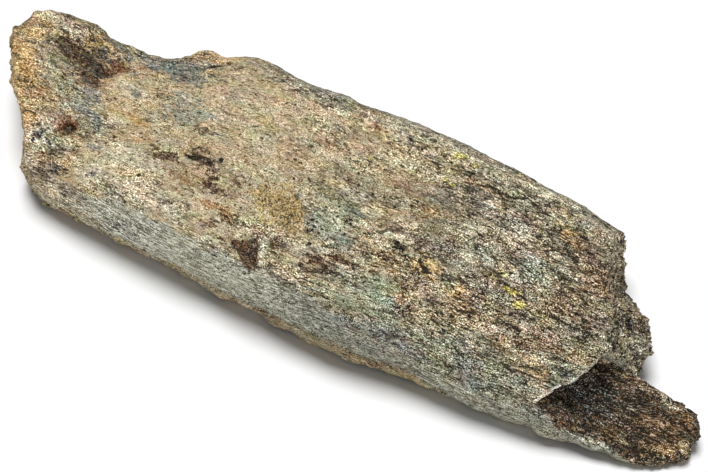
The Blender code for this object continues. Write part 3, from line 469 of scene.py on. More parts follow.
# Torn slits and small holes that stand out, as pits in the surface.
PITS = {
    "corner_dot": Patch((-111.9, 16.1, 25.2), 1.2, 1.0, 20, Tone.SLATE, 1.0),
    "left_dot": Patch((-75.3, -19.4, 23.7), 1.1, 0.9, 16, Tone.SLATE, 1.0),
    "lobe_hole": Patch((82.9, 6.6, 18.0), 2.8, 1.6, 62, Tone.SOOT, 1.0),
    "slit_a": Patch((-47.0, -2.6, 27.2), 4.5, 0.6, -2, Tone.SOOT, 0.9),
    "slit_b": Patch((-51.5, -3.6, 27.0), 2.4, 0.6, 2, Tone.SOOT, 0.8),
    "slit_c": Patch((-105.5, 9.6, 26.0), 3.4, 0.6, -30, Tone.SLATE, 0.8),
    "slit_d": Patch((-61.9, 30.2, 25.7), 6.0, 0.8, 38, Tone.UMBER, 0.9),
    "slit_e": Patch((5.2, -15.8, 26.7), 4.6, 0.7, 6, Tone.UMBER, 0.9),
    "slit_f": Patch((-32.2, -13.3, 27.4), 2.8, 0.6, -11, Tone.UMBER, 0.8),
    "slit_g": Patch((42.0, -11.6, 27.0), 4.2, 0.6, -6, Tone.UMBER, 0.8),
    "slit_h": Patch((60.7, 7.4, 28.4), 4.0, 0.6, -6, Tone.UMBER, 0.8),
    "slit_i": Patch((69.7, 7.7, 27.7), 4.2, 0.6, -2, Tone.UMBER, 0.8),
    "slit_j": Patch((-101.3, -3.0, 25.2), 3.6, 0.6, 9, Tone.UMBER, 0.9),
    "slit_k": Patch((-28.9, -23.7, 25.4), 5.0, 0.5, -2, Tone.UMBER, 0.7),
    "pebble_pit": Patch((-90.1, -7.8, 22.1), 2.0, 1.8, 0, Tone.UMBER, 1.0),
    "pebble": Patch((-90.1, -7.9, 22.1), 0.8, 0.8, 0, Tone.FROST, 1.0),
}

# Small changes of the outline, in mm.
SWELLS = (
    Swell((-123.0, 20.5, 24.0), 5.0, 4.5, 0, -1.3),
    Swell((-117.4, 26.0, 24.4), 3.4, 3.0, 0, 1.3),
    Swell((-110.4, 28.4, 24.6), 3.6, 3.0, 0, -0.9),
    Swell((-99.8, 28.6, 22.9), 1.8, 1.8, 0, 0.6),
    Swell((74.3, 20.8, 20.4), 3.4, 3.4, 0, -1.0),
    Swell((76.6, 17.6, 18.0), 2.8, 2.8, 0, -1.6),
    Swell((77.0, 20.6, 15.0), 5.4, 5.4, 0, -2.4),
    Swell((86.5, 11.0, 13.0), 4.6, 4.6, 0, 0.8),
    Swell((-31.7, -28.6, 3.0), 7.5, 4.0, 0, 1.4),
    Swell((73.5, -28.4, 4.4), 6.0, 4.0, 0, 1.5),
    Swell((-21.3, 35.6, 27.0), 6.0, 3.5, 0, 0.9),
    Swell((-75.0, 31.0, 21.0), 9.0, 4.5, 0, 0.6),
)

# The straight side of the flake that is missing from the front edge, in mm.
CHIP_START = (-20.8, -18.6)
CHIP_END = (-16.8, -27.2)
CHIP_WIDTHS = (8.2, 3.4)
# its lowest place, and what is counted as far from it
CHIP_FOOT = 15.0
CHIP_FAR = -9.0


def smooth(low: float, high: float, value: np.ndarray) -> np.ndarray:
    """An S curve between two levels.

    Args:
        low: the level where it is 0, which may stand above high to turn it round.
        high: the level where it is 1.
        value: the numbers to look up.

    Returns:
        A number from 0 to 1 for each value.
    """
    share = np.clip((value - low) / (high - low), 0.0, 1.0)
    return share * share * (3.0 - 2.0 * share)


@dataclass(frozen=True)
class Rough:
    """Smooth noise with features of one size in mm, the same each time that it is asked for."""

    size: Place
    seed: int
    octaves: int = 2

    # the strength of the coarsest layer, and how each layer differs from the one before
    STRENGTH: ClassVar[float] = 2.2
    FINER: ClassVar[float] = 2.1
    SHIFT: ClassVar[float] = 17.3
    WEAKER: ClassVar[float] = 0.6

    def at(self, points: np.ndarray) -> np.ndarray:
        """The noise over the points.

        Args:
            points: the places of the points, in mm.

        Returns:
            Noise from about -1 to 1 for each point.
        """
        chance = np.random.default_rng(self.seed)
        order = chance.permutation(256)
        slopes = chance.normal(size=(256, 3))
        slopes /= np.linalg.norm(slopes, axis=1)[:, None]
        place = points / np.array(self.size)
        total = np.zeros(len(points))
        strength = self.STRENGTH
        for _ in range(self.octaves):
            cell = np.floor(place).astype(int)
            inside = place - cell
            ease = inside**3 * (inside * (inside * 6.0 - 15.0) + 10.0)
            for corner in product((0, 1), repeat=3):
                x, y, z = (cell + corner).T & 255
                slope = slopes[order[(order[(order[x] + y) & 255] + z) & 255]]
                weight = np.prod(np.where(corner, ease, 1.0 - ease), axis=1)
                total += strength * weight * ((inside - corner) * slope).sum(1)
            place = place * self.FINER + self.SHIFT
            strength *= self.WEAKER
        return total


# the ragged lines between the kinds of surface
STRIP_EDGE = Rough((4.0, 2.0, 4.0), 19)
WALL_EDGE = Rough((9.0, 4.0, 4.0), 23)
RIM_EDGE = Rough((7.0, 5.0, 5.0), 17, 3)
CHIP_EDGE = Rough((2.0, 1.2, 1.2), 21)
# what the relief is made of
BUNDLE = Rough((9.0, 3.4, 3.4), 31)
STRAND = Rough((3.6, 1.35, 1.35), 32)
CRUMB = Rough((1.7, 1.5, 1.5), 33)
KNOB = Rough((4.5, 4.5, 4.5), 34)
INNER_FIBRE = Rough((9.0, 1.7, 1.7), 35)
SLAB = Rough((12.0, 3.6, 3.6), 36)
# the edges of the colours
FIELD_EDGE = Rough((14.0, 7.0, 7.0), 42)
PATCH_EDGE = Rough((4.5, 1.8, 1.8), 41)
PATCH_FRINGE = Rough((1.8, 0.9, 0.9), 43)


@dataclass(frozen=True)
class Ground:
    """The surface at each point, told apart by where it is and which way it faces."""

    points: np.ndarray
    normals: np.ndarray

    # where the tongue's floor starts along x, and how high the lip over it is, both by y
    FOOT_LINE: ClassVar[Line] = (
        (-30.0, -27.0, -24.0, -18.5, -13.5, -8.0, -4.0),
        (67.0, 68.5, 69.5, 71.5, 73.5, 75.2, 77.5),
    )
    LIP_LINE: ClassVar[Line] = (
        (-30.0, -27.5, -23.5, -20.3, -15.0, -10.1, -5.3),
        (12.5, 14.0, 19.5, 21.5, 22.2, 22.6, 14.5),
    )
    # where along y the tongue's pale outer strip ends and its dark inside starts, by x
    STRIP_LINE: ClassVar[Line] = (
        (70.5, 76.0, 82.5, 89.8, 93.5, 101.0, 104.0),
        (-27.6, -27.3, -26.4, -24.8, -24.8, -25.4, -26.5),
    )
    # the edge of the lip over the tongue, as y, x and height
    LIP_EDGE: ClassVar[Line] = (
        (-27.0, -26.0, -24.0, -22.0, -20.0, -18.0, -16.0, -14.0, -12.0, -10.0),
        (69.6, 70.3, 72.3, 73.6, 76.5, 78.1, 79.3, 80.1, 80.9, 81.5),
        (15.8, 16.9, 17.8, 19.7, 20.7, 21.5, 22.9, 23.1, 23.6, 24.3),
    )
    # how high the smooth part of the front side reaches, by x
    WALL_LINE: ClassVar[Line] = (
        (-77.0, -66.0, -52.0, -24.0, 1.0, 14.0, 26.0, 39.0, 51.0, 62.0, 72.0, 78.0),
        (20.6, 22.4, 23.4, 23.4, 22.8, 20.5, 16.6, 13.6, 13.2, 12.8, 10.6, 24.0),
    )
    # how high the lumpy rim along the foot of the front side is, by x
    RIM_LINE: ClassVar[Line] = (
        (
            *(-95.0, -86.0, -80.0, -68.0, -60.0, -51.0, -40.0, -30.0),
            *(-24.0, -14.0, 3.0, 15.0, 22.0, 33.0, 42.0, 52.0),
        ),
        (1.5, 4.4, 2.8, 4.0, 6.4, 5.4, 7.2, 5.4, 7.0, 7.2, 10.2, 9.4, 6.8, 8.4, 4.2, 1.0),
    )

    @cached_property
    def steep(self) -> np.ndarray:
        """1 where the surface faces the front."""
        return smooth(0.35, 0.75, -self.normals[:, 1])

    @cached_property
    def front(self) -> np.ndarray:
        """1 on the smooth front side, below its ragged top edge.

        Returns:
            A number from 0 to 1 for each point.
        """
        height = np.interp(self.points[:, 0], *self.WALL_LINE)
        over = self.points[:, 2] - height + 1.6 * WALL_EDGE.at(self.points)
        return self.steep * smooth(1.5, -1.5, over)

    @cached_property
    def back(self) -> np.ndarray:
        """1 on the steep back side."""
        return smooth(0.30, 0.70, self.normals[:, 1])

    @cached_property
    def top(self) -> np.ndarray:
        """1 where the surface faces up."""
        return smooth(0.25, 0.70, self.normals[:, 2])

    @cached_property
    def under(self) -> np.ndarray:
        """1 on the broken underside."""
        return smooth(0.45, 0.80, -self.normals[:, 2]) * (1.0 - smooth(3.0, 6.0, self.points[:, 2]))

    @cached_property
    def snapped(self) -> np.ndarray:
        """1 on the snapped end and its crumbled lip."""
        facing = smooth(0.35, 0.75, -self.normals[:, 0])
        return facing * (1.0 - smooth(-92.0, -84.0, self.points[:, 0]))

    @cached_property
    def split(self) -> np.ndarray:
        """1 on the broken end of the upper layer, with the lobe.

        Returns:
            A number from 0 to 1 for each point.
        """
        facing = smooth(0.25, 0.60, self.normals[:, 0])
        return facing * smooth(60.0, 68.0, self.points[:, 0]) * smooth(-9.0, -5.0, self.points[:, 1])

    @cached_property
    def inner(self) -> np.ndarray:
        """1 on the broken inner bone: the tongue's top and the hollow wall over it.

        Returns:
            A number from 0 to 1 for each point.
        """
        x, y, z = self.points.T
        foot = np.interp(y, *self.FOOT_LINE)
        lip = np.interp(y, *self.LIP_LINE)
        past = smooth(-0.6, 0.6, x - foot)
        below = 1.0 - smooth(-1.6, 0.2, z - lip)
        floor = smooth(0.1, 0.4, self.normals[:, 2] + 0.5 * smooth(-0.2, 0.5, self.normals[:, 0]))
        side = 1.0 - smooth(-5.0, -2.5, y)
        return past * below * np.maximum(floor, smooth(12.0, 15.0, z)) * side * (1.0 - self.strip)

    @cached_property
    def strip(self) -> np.ndarray:
        """1 on the outer bone along the tongue's front edge.

        Returns:
            A number from 0 to 1 for each point.
        """
        x, y, _ = self.points.T
        line = np.interp(x, *self.STRIP_LINE) + 0.5 * STRIP_EDGE.at(self.points)
        return smooth(0.3, -0.3, y - line) * smooth(66.0, 70.0, x) * smooth(104.0, 100.0, x)

    @cached_property
    def wall(self) -> np.ndarray:
        """1 on the smooth front side and on the strip along the tongue."""
        return np.maximum(self.front, self.strip)

    @cached_property
    def lip(self) -> np.ndarray:
        """1 on the thin edge of the lip over the tongue.

        Returns:
            A number from 0 to 1 for each point.
        """
        x, y, z = self.points.T
        level = x - np.interp(y, self.LIP_EDGE[0], self.LIP_EDGE[1])
        upright = z - np.interp(y, self.LIP_EDGE[0], self.LIP_EDGE[2])
        along = smooth(-27.6, -26.6, y) * smooth(-10.5, -12.5, y)
        return smooth(1.0, 0.5, np.hypot(level, upright)) * along

    @cached_property
    def over_rim(self) -> np.ndarray:
        """How far each point is above the top of the lumpy rim, in mm."""
        height = np.interp(self.points[:, 0], *self.RIM_LINE)
        return self.points[:, 2] - height + 1.4 * RIM_EDGE.at(self.points)

    @cached_property
    def rim(self) -> np.ndarray:
        """1 on the lumpy band along the foot of the front side."""
        return smooth(0.2, 0.6, -self.normals[:, 1]) * smooth(0.5, -0.5, self.over_rim)

    @cached_property
    def groove(self) -> np.ndarray:
        """1 in the narrow groove over the rim."""
        shelter = smooth(-0.4, 0.4, self.over_rim) * smooth(2.2, 0.8, self.over_rim)
        return shelter * smooth(0.2, 0.6, -self.normals[:, 1]) * smooth(48.0, 40.0, self.points[:, 0])

    @cached_property
    def chip(self) -> np.ndarray:
        """How far each point is inside the missing flake, in mm, below 0 outside it.

        Returns:
            A length for each point, and CHIP_FAR low on the bone.
        """
        start, end = np.array(CHIP_START), np.array(CHIP_END)
        long = float(np.linalg.norm(end - start))
        along = (end - start) / long
        offset = self.points[:, :2] - start
        run = offset @ along
        inward = offset @ np.array((along[1], -along[0]))
        ragged = 0.9 * CHIP_EDGE.at(self.points)
        width = np.interp(run, (0.0, long), CHIP_WIDTHS)
        ends = np.minimum(run, long - run) + 0.5 * ragged
        nearest = np.minimum(np.minimum(inward, width - inward + ragged), ends)
        return np.where(self.points[:, 2] > CHIP_FOOT, nearest, CHIP_FAR)


class Value:
    """A shader socket that sums can be written with."""

    def __init__(self, board: "Board", socket: bpy.types.NodeSocket) -> None:
        """Keeps the board that new nodes go on, and the socket."""
        self.board = board
        self.socket = socket

    def __add__(self, other: "Value | float") -> "Value":
        """The sum."""
        return self.board.math("ADD", self, other)

    def __radd__(self, other: float) -> "Value":
        """The sum, with the number first."""
        return self.board.math("ADD", other, self)

    def __sub__(self, other: "Value | float") -> "Value":
        """The difference."""
        return self.board.math("SUBTRACT", self, other)

    def __rsub__(self, other: float) -> "Value":
        """The difference, with the number first."""
        return self.board.math("SUBTRACT", other, self)

    def __mul__(self, other: "Value | float") -> "Value":
        """The product."""
        return self.board.math("MULTIPLY", self, other)

    def __rmul__(self, other: float) -> "Value":
        """The product, with the number first."""
        return self.board.math("MULTIPLY", other, self)

    def __abs__(self) -> "Value":
        """The size without its sign."""
        return self.board.math("ABSOLUTE", self)

    def also(self, output: str | int) -> "Value":
        """Another output of the same node."""
        return Value(self.board, self.socket.node.outputs[output])

    def step(self, low: "Value | float", high: "Value | float") -> "Value":
        """An S curve from 0 at low to 1 at high, which may stand below low.

        Args:
            low: the level where it is 0.
            high: the level where it is 1.

        Returns:
            The curve's height.
        """
        return self.board.node(
            "ShaderNodeMapRange",
            {"interpolation_type": "SMOOTHSTEP"},
            {"Value": self, "From Min": low, "From Max": high},
        )


class Board:
    """The nodes of one material, which are made as its sums are written."""

    def __init__(self, name: str) -> None:
        """Starts the material with a Principled shader and nothing else.

        Args:
            name: the material's name.
        """
        self.material = bpy.data.materials.new(name)
        self.material.use_nodes = True
        self.tree = self.material.node_tree
        self.shader = self.tree.nodes["Principled BSDF"]

    def put(self, socket: bpy.types.NodeSocket, value: Any) -> None:
        """Links a value into a socket, or sets the socket's own number or colour.

        Args:
            socket: the socket.
            value: a value of this board, a number, or a colour of four numbers.
        """
        if isinstance(value, Value):
            self.tree.links.new(value.socket, socket)
        else:
            socket.default_value = value

    def node(
        self,
        kind: str,
        settings: dict[str, Any] | None = None,
        inputs: dict[str | int, Any] | None = None,
        output: str | int = 0,
    ) -> Value:
        """Makes one node.

        Args:
            kind: the node's type.
            settings: its own settings, which are set first.
            inputs: what goes into its sockets, by name or by place.
            output: the socket that it is read from.

        Returns:
            The value of that socket.
        """
        made = self.tree.nodes.new(kind)
        for name, setting in (settings or {}).items():
            setattr(made, name, setting)
        for key, value in (inputs or {}).items():
            self.put(made.inputs[key], value)
        return Value(self, made.outputs[output])

    def math(self, operation: str, *values: "Value | float") -> Value:
        """One sum of a Math node."""
        return self.node("ShaderNodeMath", {"operation": operation}, dict(enumerate(values)))

    def vector(self, operation: str, *values: Any) -> Value:
        """One sum of a Vector Math node."""
        return self.node("ShaderNodeVectorMath", {"operation": operation}, dict(enumerate(values)))

    def scaled(self, vector: Any, amount: "Value | float") -> Value:
        """The vector times a number."""
        return self.node("ShaderNodeVectorMath", {"operation": "SCALE"}, {0: vector, 3: amount})

    def along(self, where: Value, times: float) -> Value:
        """The place with its length along the fibres times a number."""
        return self.vector("MULTIPLY", where, (times, 1.0, 1.0))

    def pushed(self, start: Value, push: Any, amount: "Value | float") -> Value:
        """A place or colour with a vector times a number added."""
        return self.vector("ADD", start, self.scaled(push, amount))

    def gamma(self, colour: Value, power: float) -> Value:
        """Each part of the colour to that power."""
        return self.node("ShaderNodeGamma", {}, {0: colour, 1: power})

    def mixed(self, share: "Value | float", first: Any, second: Any, blend: str = "MIX") -> Value:
        """Mixes two colours.

        Args:
            share: how much of the second shows.
            first: the colour at a share of 0, as four numbers or a value.
            second: the colour at a share of 1.
            blend: how the second is laid over the first.

        Returns:
            The mixed colour.
        """
        settings = {"data_type": "RGBA", "blend_type": blend}
        return self.node("ShaderNodeMix", settings, {0: share, 6: first, 7: second}, 2)

    def attribute(self, name: str, output: str = "Fac") -> Value:
        """Reads one attribute of the piece's mesh."""
        return self.node("ShaderNodeAttribute", {"attribute_name": name}, output=output)

    def place(self) -> Value:
        """The place on the piece, in mm."""
        where = self.node("ShaderNodeTexCoord", output="Object")
        return self.vector("MULTIPLY", where, (1 / MM, 1 / MM, 1 / MM))

    def noise(
        self, where: Value, size: float, detail: float = 2.0, rough: float = 0.55, output: str = "Fac"
    ) -> Value:
        """Noise over the piece.

        Args:
            where: the place to read it at, in mm.
            size: how long its features are, in mm.
            detail: how many finer layers it has.
            rough: how strong the finer layers are.
            output: Fac for a number round 0.5, or Color for three of them.

        Returns:
            The noise.
        """
        inputs = {"Vector": where, "Scale": 1 / size, "Detail": detail, "Roughness": rough}
        return self.node("ShaderNodeTexNoise", {"noise_dimensions": "3D"}, inputs, output)

    def drift(self, where: Value, size: float, detail: float, rough: float = 0.55) -> Value:
        """Three noises at once, each round 0, as a vector."""
        return self.vector("SUBTRACT", self.noise(where, size, detail, rough, "Color"), (0.5, 0.5, 0.5))

    def cells(self, where: Value, size: float) -> Value:
        """How far a place is from the middle of its cell, as a share of the cells' size."""
        inputs = {"Vector": where, "Scale": 1 / size, "Randomness": 1.0}
        return self.node("ShaderNodeTexVoronoi", {}, inputs, "Distance")

    def chances(self, cells: Value) -> Value:
        """Each cell's own three chance numbers from 0 to 1, as outputs 0, 1 and 2 of one node."""
        return self.node("ShaderNodeSeparateColor", {}, {0: cells.also("Color")})

    def bump(self, height: Value, strength: float, distance: float) -> Value:
        """The way that the surface faces where the height stands out by that distance, in m."""
        inputs = {"Strength": strength, "Distance": distance, "Height": height}
        return self.node("ShaderNodeBump", {}, inputs, "Normal")


def solid(colour: Colour) -> tuple[float, float, float, float]:
    """The colour with an alpha of 1."""
    return (*colour, 1.0)


class Weave:
    """The patterns of the bone's fibres, which the steps of its finish share."""

    def __init__(self, board: Board, finish: "BoneFinish") -> None:
        """Reads what the mesh carries and makes the patterns.

        Args:
            board: the material's nodes.
            finish: the sizes of the fibres and grains.
        """
        self.board = board
        self.place = board.place()
        self.inner = board.attribute("inner")
        self.even = board.attribute("even")
        self.streaky = board.attribute("streaky")
        self.top = 1.0 - self.streaky
        run = self.run(board.attribute("wild"))
        fray = board.vector("MULTIPLY", board.drift(self.place, 0.5, 1.0, 0.5), (1.8, 1.0, 1.0))
        self.frayed = board.vector("ADD", run, fray)
        # the fibres and grains themselves
        drawn = board.along(self.frayed, 1 / finish.stretch)
        self.own = board.chances(board.cells(drawn, finish.fibre_width))
        self.grit = board.chances(board.cells(board.along(run, 0.6), finish.grit))
        self.strand = board.noise(drawn, finish.strand, 3.0, 0.62)
        self.hair = board.noise(board.along(run, 1 / 6.0), finish.hair, 1.5, 0.6)
        self.grain = board.noise(self.place, finish.grain, 0.0)
        # the broader places where they change
        half = board.along(run, 0.5)
        self.blotch = board.noise(half, 2.6, 2.0, 0.6)
        self.swarm = board.noise(half, 5.0, 1.0, 0.5)
        self.warmth = board.noise(half, 1.9, 2.0, 0.6)
        blueness = board.noise(half, 2.3, 2.0, 0.6, "Color")
        self.cold = board.node("ShaderNodeSeparateColor", {}, {0: blueness})
        self.lean = board.drift(half, 4.6, 2.0)
        # long threads, and the lines that cracks follow
        self.thread = board.noise(board.along(run, 1 / 14.0), 0.75, 1.0, 0.5)
        self.wire = board.noise(board.along(run, 1 / 9.0), 0.34, 1.0, 0.5)
        self.crack = board.noise(board.along(self.frayed, 1 / 5.0), 2.2, 1.5, 0.5)
        self.vein = board.noise(board.along(self.frayed, 1 / 4.0), 1.1, 1.0, 0.5)

    def run(self, wild: Value) -> Value:
        """The place drawn along the fibres' waving run, in mm.

        Args:
            wild: how much the fibres stray there, from 0 to 1.

        Returns:
            The place to read the fibres' patterns at.
        """
        board = self.board
        slow = board.drift(board.along(self.place, 0.45), 26.0, 0.0)
        quick = board.drift(board.along(self.place, 0.50), 4.2, 1.0)
        sway = board.vector("MULTIPLY", slow, (0.0, 14.0, 10.0))
        kink = board.vector("MULTIPLY", quick, (1.5, 2.6, 2.2))
        return board.pushed(self.place, board.vector("ADD", sway, kink), 0.6 + 1.2 * wild)


@dataclass(frozen=True)
class BoneFinish:
    """Weathered fossil bone: short dull fibres in the colours that the mesh carries, with dark pores."""

    name: str = "fossil_bone"
    # the sizes of the patterns, in mm
    stretch: float = 3.4
    fibre_width: float = 0.50
    strand: float = 0.85
    hair: float = 0.36
    grain: float = 0.33
    grit: float = 0.40
    crumb: float = 0.80
    pore_spacing: float = 1.8
    # how strong light and dark are, and how high the bumps, in m
    depth: float = 0.43
    bump_height: float = 0.00022
    roughness: float = 0.82
    specular: float = 0.14
    # the colours that are the same wherever they show
    bare: Colour = (0.165, 0.094, 0.056)
    bare_dark: Colour = (0.050, 0.035, 0.024)
    darkest: Colour = (0.09, 0.08, 0.07)
    pale_thread: Colour = (0.68, 0.69, 0.61)
    dark_thread: Colour = (0.08, 0.08, 0.07)
    orange_fibre: Colour = (0.33, 0.18, 0.075)
    black_fibre: Colour = (0.022, 0.018, 0.013)
    crack: Colour = (0.024, 0.018, 0.011)
    cream_crumb: Colour = (0.62, 0.56, 0.43)
    black_crumb: Colour = (0.025, 0.019, 0.012)
    hole: Colour = (0.012, 0.010, 0.008)
    # dirt and painted shade, which darkens the relief's low places
    dirt_and_shade: Colour = (0.42, 0.36, 0.31)

    def dyed(self, weave: Weave) -> Value:
        """The fibres in the colours that the mesh carries.

        Args:
            weave: the fibres' patterns.

        Returns:
            The colour, before light and dark.
        """
        board = weave.board
        # single fibres take the second colour, more of them where the blotches are
        pick = 0.5 * weave.own.also(1) + 0.5 * weave.grit
        pick = pick + 0.4 * (weave.blotch - 0.5) + 1.2 * (weave.hair - 0.5)
        picked = (pick + board.attribute("fleck_share") - 0.10 * weave.even).step(0.90, 1.06)
        picked = picked * (1.0 - 0.5 * weave.even)
        colour = board.mixed(picked, board.attribute("tone", "Color"), board.attribute("fleck", "Color"))
        # and where there is a stain, most fibres take it
        choose = 0.22 + 0.30 * weave.own.also(2) + 0.9 * (weave.strand - 0.35)
        taken = (board.attribute("stain_share") * 1.15 - choose).step(-0.08, 0.08)
        colour = board.mixed(taken, colour, board.attribute("stain", "Color"))
        # the flake that is missing shows dark brown fibres
        darker = (weave.own.also(2) + weave.strand - 0.5).step(0.35, 0.75)
        bare = board.mixed(darker, solid(self.bare), solid(self.bare_dark))
        return board.mixed(0.94 * board.attribute("chip").step(-0.15, 0.15), colour, bare)

    def shaded(self, weave: Weave, colour: Value) -> Value:
        """Light and dark from fibre to fibre and grain to grain, in even steps for the eye.

        Args:
            weave: the fibres' patterns.
            colour: the fibres' colour.

        Returns:
            The shaded colour, still in those even steps.
        """
        board = weave.board
        streaky, inner = weave.streaky, weave.inner
        own, strand, grit = weave.own - 0.5, weave.strand - 0.5, weave.grit - 0.5
        hair, grain, warmth = weave.hair - 0.5, weave.grain - 0.5, weave.warmth - 0.5
        thread, wire = weave.thread - 0.5, weave.wire - 0.5
        fibrous = (weave.swarm + 0.35 * warmth).step(0.38, 0.62)
        fibrous = board.math("MAXIMUM", fibrous, inner)
        light = 0.30 * own + 0.30 * strand * weave.top + (0.9 - 0.4 * inner) * grit
        light = light + (1.0 + 1.1 * fibrous) * hair
        light = light + (3.3 - 1.2 * fibrous - 0.4 * inner) * grain
        light = light + 0.06 * (weave.hair + 0.3 * warmth).step(0.61, 0.67)
        light = light - 0.72 * (weave.hair - 0.3 * warmth).step(0.39, 0.34)
        light = light + streaky * (0.9 * thread + 2.3 * wire)
        light = light + inner * (0.9 * thread + 1.6 * wire)
        light = self.depth * ((1.0 - weave.even) * light) - 0.002
        return board.pushed(board.gamma(colour, 1 / EYE), (1.0, 1.0, 1.0), light)

    def leaning(self, weave: Weave, colour: Value) -> Value:
        """Leans the grain to warm and to cool, in small places and in broader streaks.

        Args:
            weave: the fibres' patterns.
            colour: the colour in even steps for the eye.

        Returns:
            The leaning colour, as light again.
        """
        board = weave.board
        lean = board.vector("MULTIPLY", weave.lean, (0.20, 0.0, 0.16))
        orange = board.node("ShaderNodeSeparateXYZ", {}, {0: lean}, "X")
        for push, amount in (
            ((0.54, -0.24, -0.62), orange),
            ((0.0, 0.10, -0.90), orange.also("Z")),
            ((0.090, -0.035, -0.040), weave.warmth - 0.5),
            ((-0.010, 0.010, 0.100), weave.cold - 0.5),
        ):
            colour = board.pushed(colour, push, weave.top * amount)
        return board.gamma(board.vector("MAXIMUM", colour, self.darkest), EYE)

    def threaded(self, weave: Weave, colour: Value) -> Value:
        """Lays threads on the smooth front side, and stray fibres in the inner bone.

        Args:
            weave: the fibres' patterns.
            colour: the colour under them.

        Returns:
            The colour with them.
        """
        wire, warmth = weave.wire, weave.warmth - 0.5
        mingled = wire + 0.3 * (weave.thread - 0.5)
        for share, tone in (
            (0.60 * mingled.step(0.60, 0.66) * weave.streaky, self.pale_thread),
            (0.40 * mingled.step(0.39, 0.33) * weave.streaky, self.dark_thread),
            (0.55 * weave.inner * (wire + 0.5 * warmth).step(0.57, 0.66), self.orange_fibre),
            (0.66 * weave.inner * (wire - 0.3 * warmth).step(0.45, 0.38), self.black_fibre),
        ):
            colour = weave.board.mixed(share, colour, solid(tone))
        return colour

    def cracks(self, weave: Weave) -> Value:
        """1 in the thin dark cracks along the fibres, which are in some places only.

        Args:
            weave: the fibres' patterns.

        Returns:
            A number from 0 to 1.
        """
        blotch, swarm = weave.blotch, weave.swarm
        fewer = 1.0 - weave.board.math("MINIMUM", 1.0, 1.6 * weave.even + 0.5 * weave.streaky)
        torn = (blotch + 0.5 * (swarm - 0.5)).step(0.47, 0.55)
        split = (swarm + 0.5 * (blotch - 0.5)).step(0.44, 0.58)
        wide = abs(weave.crack - 0.5).step(0.036, 0.014) * torn
        fine = abs(weave.vein - 0.5).step(0.045, 0.015) * split
        return (wide + 0.75 * fine).step(0.0, 1.0) * fewer

    def crumbs(self, weave: Weave) -> tuple[Value, Value]:
        """Cream and dark crumbs between the fibres.

        Args:
            weave: the fibres' patterns.

        Returns:
            1 on the cream crumbs, and 1 on the dark ones.
        """
        board = weave.board
        reach = board.cells(board.along(weave.frayed, 0.8), self.crumb)
        number = board.chances(reach)
        whole = reach.step(0.47, 0.34)
        cream = whole * (number + 0.5 * (weave.swarm - 0.5)).step(0.88, 0.92) * board.attribute("crumbs")
        dark = whole * (number + 0.4 * (weave.blotch - 0.5) + 0.06 * weave.even).step(0.12, 0.08)
        return cream, dark

    def pores(self, weave: Weave) -> Value:
        """1 in the pores, the scattered ones and the single ones that stand out.

        Args:
            weave: the fibres' patterns.

        Returns:
            A number from 0 to 1.
        """
        board = weave.board
        reach = board.cells(board.along(weave.frayed, 0.75), self.pore_spacing)
        open_here = (board.attribute("pored") - board.chances(reach)).step(-0.02, 0.02)
        scattered = reach.step(0.26, 0.20) * open_here
        return board.math("MAXIMUM", scattered, self.nearest(weave).step(1.15, 0.80))

    def nearest(self, weave: Weave) -> Value:
        """How far a place is from the nearest single pore, as a share of that pore's radius.

        Args:
            weave: the fibres' patterns.

        Returns:
            0 in the pore's middle and 1 at its edge.
        """
        board = weave.board
        place = board.vector("ADD", weave.place, board.drift(weave.place, 0.6, 1.0))
        least: Value | float = 9.0
        for x, y, z, radius in PORES:
            centre = (x + DRAWN_AT[0], y + DRAWN_AT[1], z + DRAWN_AT[2])
            offset = board.vector("SUBTRACT", place, centre)
            offset = board.vector("MULTIPLY", offset, (1 / radius, 1 / radius, 0.3 / radius))
            away = board.node("ShaderNodeVectorMath", {"operation": "LENGTH"}, {0: offset}, "Value")
            least = board.math("MINIMUM", least, away)
        return least

    def build(self) -> bpy.types.Material:
        """Makes the material.

        Returns:
            The finished material.
        """
        board = Board(self.name)
        weave = Weave(board, self)
        cracks = self.cracks(weave)
        cream, dark = self.crumbs(weave)
        pores = self.pores(weave)

        colour = self.shaded(weave, self.dyed(weave))
        colour = self.threaded(weave, self.leaning(weave, colour))
        for share, tone in (
            (0.92 * cracks, self.crack),
            (0.50 * cream, self.cream_crumb),
            (0.85 * dark, self.black_crumb),
            (0.95 * pores, self.hole),
        ):
            colour = board.mixed(share, colour, solid(tone))
        # dirt and painted shade in the low places of the relief
        dirty_and_shaded = board.mixed(1.0, colour, solid(self.dirt_and_shade), "MULTIPLY")
        colour = board.mixed(board.attribute("low"), colour, dirty_and_shaded)

        height = 0.4 * weave.own + 0.9 * weave.strand + 1.0 * weave.hair
        height = height + 0.9 * weave.grain + 0.3 * weave.grit + 0.5 * (weave.wire * weave.streaky)
        height = height + 0.4 * cream - 0.7 * dark - 1.4 * pores - 1.0 * cracks
        dull = self.roughness + 0.16 * (weave.grain - 0.5) + 0.08 * pores
        board.put(board.shader.inputs["Base Color"], colour)
        board.put(board.shader.inputs["Roughness"], dull)
        board.put(board.shader.inputs["Normal"], board.bump(height, 1.0, self.bump_height))
        board.put(board.shader.inputs["Specular IOR Level"], self.specular)
        return board.material


